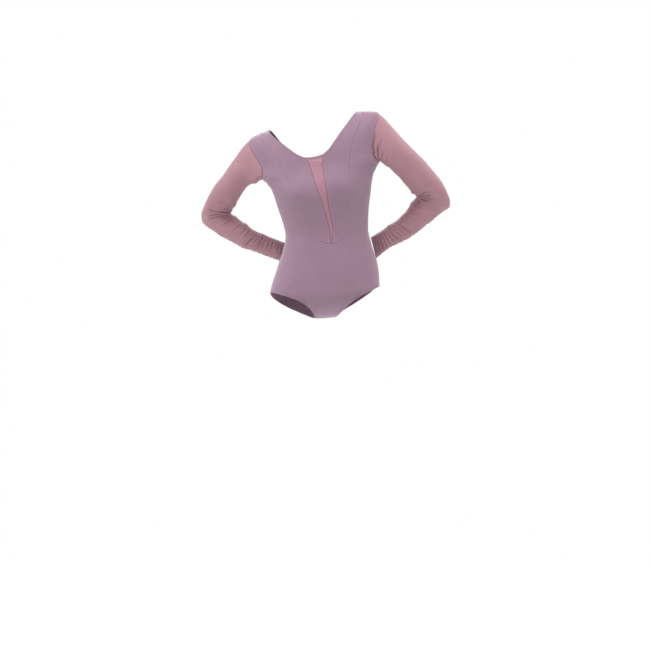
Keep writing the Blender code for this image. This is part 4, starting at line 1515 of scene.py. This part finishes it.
def stitched(name, rows, tree, thread):
    """stitches along rows of points, as one plain mesh"""
    guide = bpy.data.curves.new(name + "_rows", "CURVE")
    guide.dimensions = "3D"
    for row in rows:
        spline = guide.splines.new("POLY")
        spline.points.add(len(row) - 1)
        flat = np.concatenate([row * MM, np.ones((len(row), 1))], axis=1)
        spline.points.foreach_set("co", flat.ravel())
    holder = placed(name + "_rows", guide)
    modifier = holder.modifiers.new("stitches", "NODES")
    modifier.node_group = tree
    slots = {item.name: item.identifier for item in tree.interface.items_tree}
    modifier[slots["Thread"]] = thread
    for size, value in STITCH_SIZES.items():
        modifier[slots[size]] = value
    bpy.context.view_layer.update()
    depsgraph = bpy.context.evaluated_depsgraph_get()
    mesh = bpy.data.meshes.new_from_object(holder.evaluated_get(depsgraph))
    mesh.name = name
    bpy.data.objects.remove(holder)
    return placed(name, mesh)


def inset(places, side, width, toward):
    """a line inside an edge at a steady distance from it, on the side of the place toward"""
    points, normals = sheet_points(places, side)
    way = unit(np.cross(normals, np.gradient(points, axis=0)))
    middle = len(points) // 2
    goal = sheet_points(toward[None], side)[0][0]
    if way[middle] @ (goal - points[middle]) < 0:
        way = -way
    across, up = slopes(places, side)
    across = across / (2 * ANGLE_NUDGE)
    up = up / (2 * LEVEL_NUDGE)
    a, b, c = (across * across).sum(1), (across * up).sum(1), (up * up).sum(1)
    p, q = (way * across).sum(1) * width, (way * up).sum(1) * width
    part = np.maximum(a * c - b * b, 1e-9)
    return places + np.stack([(c * p - b * q) / part, (a * q - b * p) / part], axis=-1)


# the flat cut of a piece in metres and how it is held, a type that no piece here fills in: the knit
# is stretched about a tenth round the body, and the sleeves are longer than the arm and bunch on it
Cut = namedtuple("Cut", "width length area held")


def declare(node, piece, extras):
    """the piece takes its solid's place: the solid is hidden, and the piece and its extras hang
    from the root
    """
    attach(piece, "root")
    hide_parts(node)
    for extra in extras:
        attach(extra, "root")
    return lambda: piece


# millimetres of grain round the body and round a sleeve, how deep a fold and a crease are where
# their painted shade is darkest, where a sleeve's seam and its bunching lie, how near an armhole a
# crease ends, and how far a thread stands out of the cloth
GRAIN_RADIUS = 130.0
SLEEVE_GRAIN = 240.0
FOLD_SHADE_DEPTH = 3.0
CREASE_SHADE_DEPTH = 1.6
SLEEVE_SEAM_TURN = 188.0
SLEEVE_SEAM_SHARE = 0.5
BUNCH_START = 230.0
BUNCH_REACH = 220.0
QUIET_WIDTH = 4.5
THREAD_LIFT = 0.4 * STITCH_RADIUS
Fabric = namedtuple("Fabric", "slot thickness material")


def body_cloth(node, patches, side, fabric, seams, hems, joints):
    """a piece of the body"""
    places, faces = gather_patches(patches, side)
    points, normals = sheet_points(places, side)
    seam = distance_to(points, worn_lines(seams, side))
    hem = distance_to(points, worn_lines([line for line, _ in hems], side))
    folds = fold_rise(places, side)
    rise = folds + seam_rise(node, seam, points)
    ways = normals.copy()
    for joint in joints:
        for corner, way in zip(joint.loop, joint.mitre):
            ways[np.linalg.norm(points - corner, axis=1) < SPACING / 2] = way
    solid, walls = wall(points + normals * rise[:, None], ways, faces, fabric.thickness, hem)
    grain = np.stack([places[:, 0] * GRAIN_RADIUS, places[:, 1]], axis=-1)
    # painted shade in the folds, full where they sink the given depth
    sunk = np.clip(-folds / FOLD_SHADE_DEPTH, 0, 1)
    notes = {"seam": seam, "hem": hem, "sunk": sunk, "bunch": np.zeros(len(seam))}
    piece = cloth_object(node + "_cloth", solid, walls, fabric.material, grain, notes)
    rows = []
    for line, toward in hems:
        for width in STITCH_ROWS:
            laid, out = sheet_points(inset(line, side, width, toward), side)
            rows.append(laid + out * (fabric.thickness / 2 + THREAD_LIFT))
    extras = [stitched(node + "_stitches", rows, stitches, thread)] if rows else []
    return declare(node, piece, extras)


def sleeve_cloth(node, stations, rucks, creases, joint, fabric):
    """a sleeve with its creases, as a tube with its armhole and cuff open"""
    rings = sleeve_rings(stations, rucks, joint.loop)
    normals = grid_normals(rings)
    along = run_along(arm_lines(stations)[0])
    turn = np.linspace(0, 360, rings.shape[1], endpoint=False)
    girth = np.linalg.norm(np.roll(rings, -1, axis=1) - rings, axis=2).sum(axis=1)
    folds = crease_rise(creases, along[:, None], turn[None, :], girth)
    seam = np.abs(turn_from(SLEEVE_SEAM_TURN, turn))[None, :] * girth[:, None] / 360
    to_hole = distance_to(rings.reshape(-1, 3), [np.concatenate([joint.loop, joint.loop[:1]])])
    seam = np.minimum(seam, to_hole.reshape(seam.shape))
    hem = np.repeat(along[-1] - along, rings.shape[1])
    quiet = ease(to_hole.reshape(seam.shape) / QUIET_WIDTH)
    rise = folds * quiet + seam_rise(node, seam, rings) * SLEEVE_SEAM_SHARE
    ways = normals.copy()
    ways[0] = joint.mitre
    shift = normals.copy()
    shift[0] = joint.normals
    points = (rings + shift * rise[..., None]).reshape(-1, 3)
    flat_ways = ways.reshape(-1, 3)
    faces = facing(rings.reshape(-1, 3), flat_ways, grid_faces(*rings.shape[:2], True))
    solid, walls = wall(points, flat_ways, faces, fabric.thickness, hem)
    across = turn[None, :] / 360 * SLEEVE_GRAIN
    grain = np.stack(np.broadcast_arrays(across, along[:, None]), axis=-1).reshape(-1, 2)
    # painted shade in the creases, full where they sink the given depth
    sunk = np.clip(-folds / CREASE_SHADE_DEPTH, 0, 1)
    bunch = np.repeat(ease((along - BUNCH_START) / BUNCH_REACH), rings.shape[1])
    notes = {"seam": seam, "hem": hem, "sunk": sunk, "bunch": bunch}
    piece = cloth_object(node + "_cloth", solid, walls, fabric.material, grain, notes)
    rows = []
    lifted = rings + normals * (rise[..., None] + fabric.thickness / 2 + THREAD_LIFT)
    for width in STITCH_ROWS:
        ring = lifted[np.argmin(np.abs(along[-1] - along - width))]
        rows.append(np.concatenate([ring, ring[:1]]))
    extras = [stitched(node + "_stitches", rows, stitches, thread)]
    return declare(node, piece, extras)


# pieces
knit = Fabric("knit", KNIT_CLOTH, knit_material())
net = Fabric("mesh", MESH_CLOTH, mesh_material("rose_mauve_stretch_net", MESH_COLOUR))
insert_net = Fabric("mesh", MESH_CLOTH, mesh_material("rose_mauve_insert_net", INSERT_COLOUR))
thread = thread_material()
stitches = stitch_tree()
right = armhole_joint(True, SLEEVE_RIGHT, RUCKS_RIGHT)
left = armhole_joint(False, SLEEVE_LEFT, RUCKS_LEFT)
# places on the upright form that each hem turns in towards
CHEST = np.array([0.3, -200.0])
MIDDLE = np.array([0.0, -200.0])
BLADE = np.array([0.6, -200.0])
HIP = np.array([0.0, -450.0])

centre_seams = [shoulder_seam(NECK_X, PRINCESS_X, PANEL_STEPS), princess_seam(), v_half(),
                insert_edge()]

sheets = [
    body_cloth("front_body", front_patches(), -1, knit,
               both(shoulder_seam(PRINCESS_X, SHOULDER_X, PANEL_STEPS)) + both(princess_seam())
               + both(v_half()) + both(side_line()) + both(armhole(ARMHOLE_FRONT, -1))
               + [crotch_seam(CROTCH_STEPS)],
               [(line, HIP) for line in both(leg_opening(LEG_FRONT, HIP_STEPS, -1))],
               [right, left]),
    body_cloth("centre_front_left", [centre_patch()], -1, knit, centre_seams,
               [(neckline(), CHEST)], []),
    body_cloth("centre_front_right", [flipped(centre_patch())], -1, knit,
               [mirror(line) for line in centre_seams], [(mirror(neckline()), mirror(CHEST))], []),
    body_cloth("v_insert", [sheer_patch()], -1, insert_net, both(insert_edge()),
               [(insert_top(), MIDDLE)], []),
    body_cloth("back", back_patches(), 1, knit,
               both(shoulder_seam(NECK_X, SHOULDER_X, 2 * PANEL_STEPS)) + both(side_line())
               + both(armhole(ARMHOLE_BACK, 1)) + [crotch_seam(CROTCH_STEPS)],
               [(line, HIP) for line in both(leg_opening(LEG_BACK, HIP_STEPS, 1))]
               + list(zip(both(back_neck()), both(BLADE))) + [(back_scoop(), MIDDLE)],
               [right, left]),
    sleeve_cloth("sleeve_right", SLEEVE_RIGHT, RUCKS_RIGHT, CREASES_RIGHT, right, net),
    sleeve_cloth("sleeve_left", SLEEVE_LEFT, RUCKS_LEFT, CREASES_LEFT, left, net),
]
for sheet in sheets:
    sheet()


# floor, light and camera
PIXEL = 2.95
FRAME_PIXELS = 651
CENTRE_PIXEL = (325.5, 325.5)
ORIGIN_PIXEL = (313, 121)
FLOOR_HEIGHT = -1519.0
FLOOR_RADIUS = 6.0
FLOOR_SIDES = 96
FLOOR_GLOW = 0.85
FLOOR_COLOUR = (0.80, 0.80, 0.80)
EVEN_LIGHT = 0.84
CAMERA_AWAY = 20.0
SENSOR = 36.0


def floor_material():
    """matte, as white to the camera as what is behind it, with little light on the cloth"""
    make = Recipe("pale_floor")
    seen = make.node("ShaderNodeLightPath", output="Is Camera Ray")
    glow = make.blend(seen, (0.0, 0.0, 0.0), (1.0, 1.0, 1.0))
    return make.finish({"Base Color": FLOOR_COLOUR, "Roughness": 0.9,
                        "Emission Color": glow, "Emission Strength": FLOOR_GLOW})


def floor():
    """a round pale floor at the height of the toes"""
    turns = np.linspace(0, 2 * np.pi, FLOOR_SIDES, endpoint=False)
    rim_points = [(FLOOR_RADIUS * np.cos(a), FLOOR_RADIUS * np.sin(a), FLOOR_HEIGHT * MM)
                  for a in turns]
    mesh = bpy.data.meshes.new("pale_floor")
    mesh.from_pydata(rim_points, [], [tuple(range(len(rim_points)))])
    mesh.materials.append(floor_material())
    piece = placed("pale_floor", mesh)


Lamp = namedtuple("Lamp", "name place size power colour")
TARGET = np.array([0.03, 0.0, -0.28])
LAMPS = [
    Lamp("key", (0.05, -1.5, 3.0), 2.4, 104.0, (1.0, 0.985, 0.965)),
    Lamp("side", (-3.0, 0.3, 0.3), 1.6, 27.0, (1.0, 0.99, 0.98)),
    Lamp("rim", (2.4, 1.6, 1.6), 1.6, 30.0, (1.0, 0.985, 0.965)),
    Lamp("rear", (-0.7, 2.8, 1.4), 1.6, 50.0, (1.0, 1.0, 1.0)),
]


def lamp(row):
    """a soft light that faces the leotard"""
    light = bpy.data.lights.new(row.name, "AREA")
    light.shape = "DISK"
    light.size = row.size
    light.energy = row.power
    light.color = row.colour
    holder = placed(row.name, light)
    holder.location = row.place
    aim = holder.location.copy()
    aim.x, aim.y, aim.z = TARGET - np.array(row.place)
    holder.rotation_euler = aim.to_track_quat("-Z", "Y").to_euler()


def surroundings():
    """white all round to the camera, and a lower even light on the cloth"""
    world = bpy.data.worlds.new("white_studio")
    world.use_nodes = True
    nodes = world.node_tree.nodes
    seen = nodes.new("ShaderNodeLightPath")
    level = nodes.new("ShaderNodeMapRange")
    level.inputs["To Min"].default_value = EVEN_LIGHT
    world.node_tree.links.new(seen.outputs["Is Camera Ray"], level.inputs["Value"])
    world.node_tree.links.new(level.outputs["Result"], nodes["Background"].inputs["Strength"])
    nodes["Background"].inputs["Color"].default_value = (1.0, 1.0, 1.0, 1.0)
    bpy.context.scene.world = world
    bpy.context.scene.view_settings.view_transform = "Standard"


def camera():
    """a long lens, level, straight at the front"""
    view = bpy.data.cameras.new("front_view")
    view.sensor_width = SENSOR
    view.lens = SENSOR * CAMERA_AWAY / (PIXEL * MM * FRAME_PIXELS)
    view.clip_end = 100.0
    holder = placed("front_view", view)
    holder.location = ((CENTRE_PIXEL[0] - ORIGIN_PIXEL[0]) * PIXEL * MM, -CAMERA_AWAY,
                       (ORIGIN_PIXEL[1] - CENTRE_PIXEL[1]) * PIXEL * MM)
    holder.rotation_euler = (np.pi / 2, 0.0, 0.0)
    bpy.context.scene.camera = holder


floor()
for row in LAMPS:
    lamp(row)
surroundings()
camera()
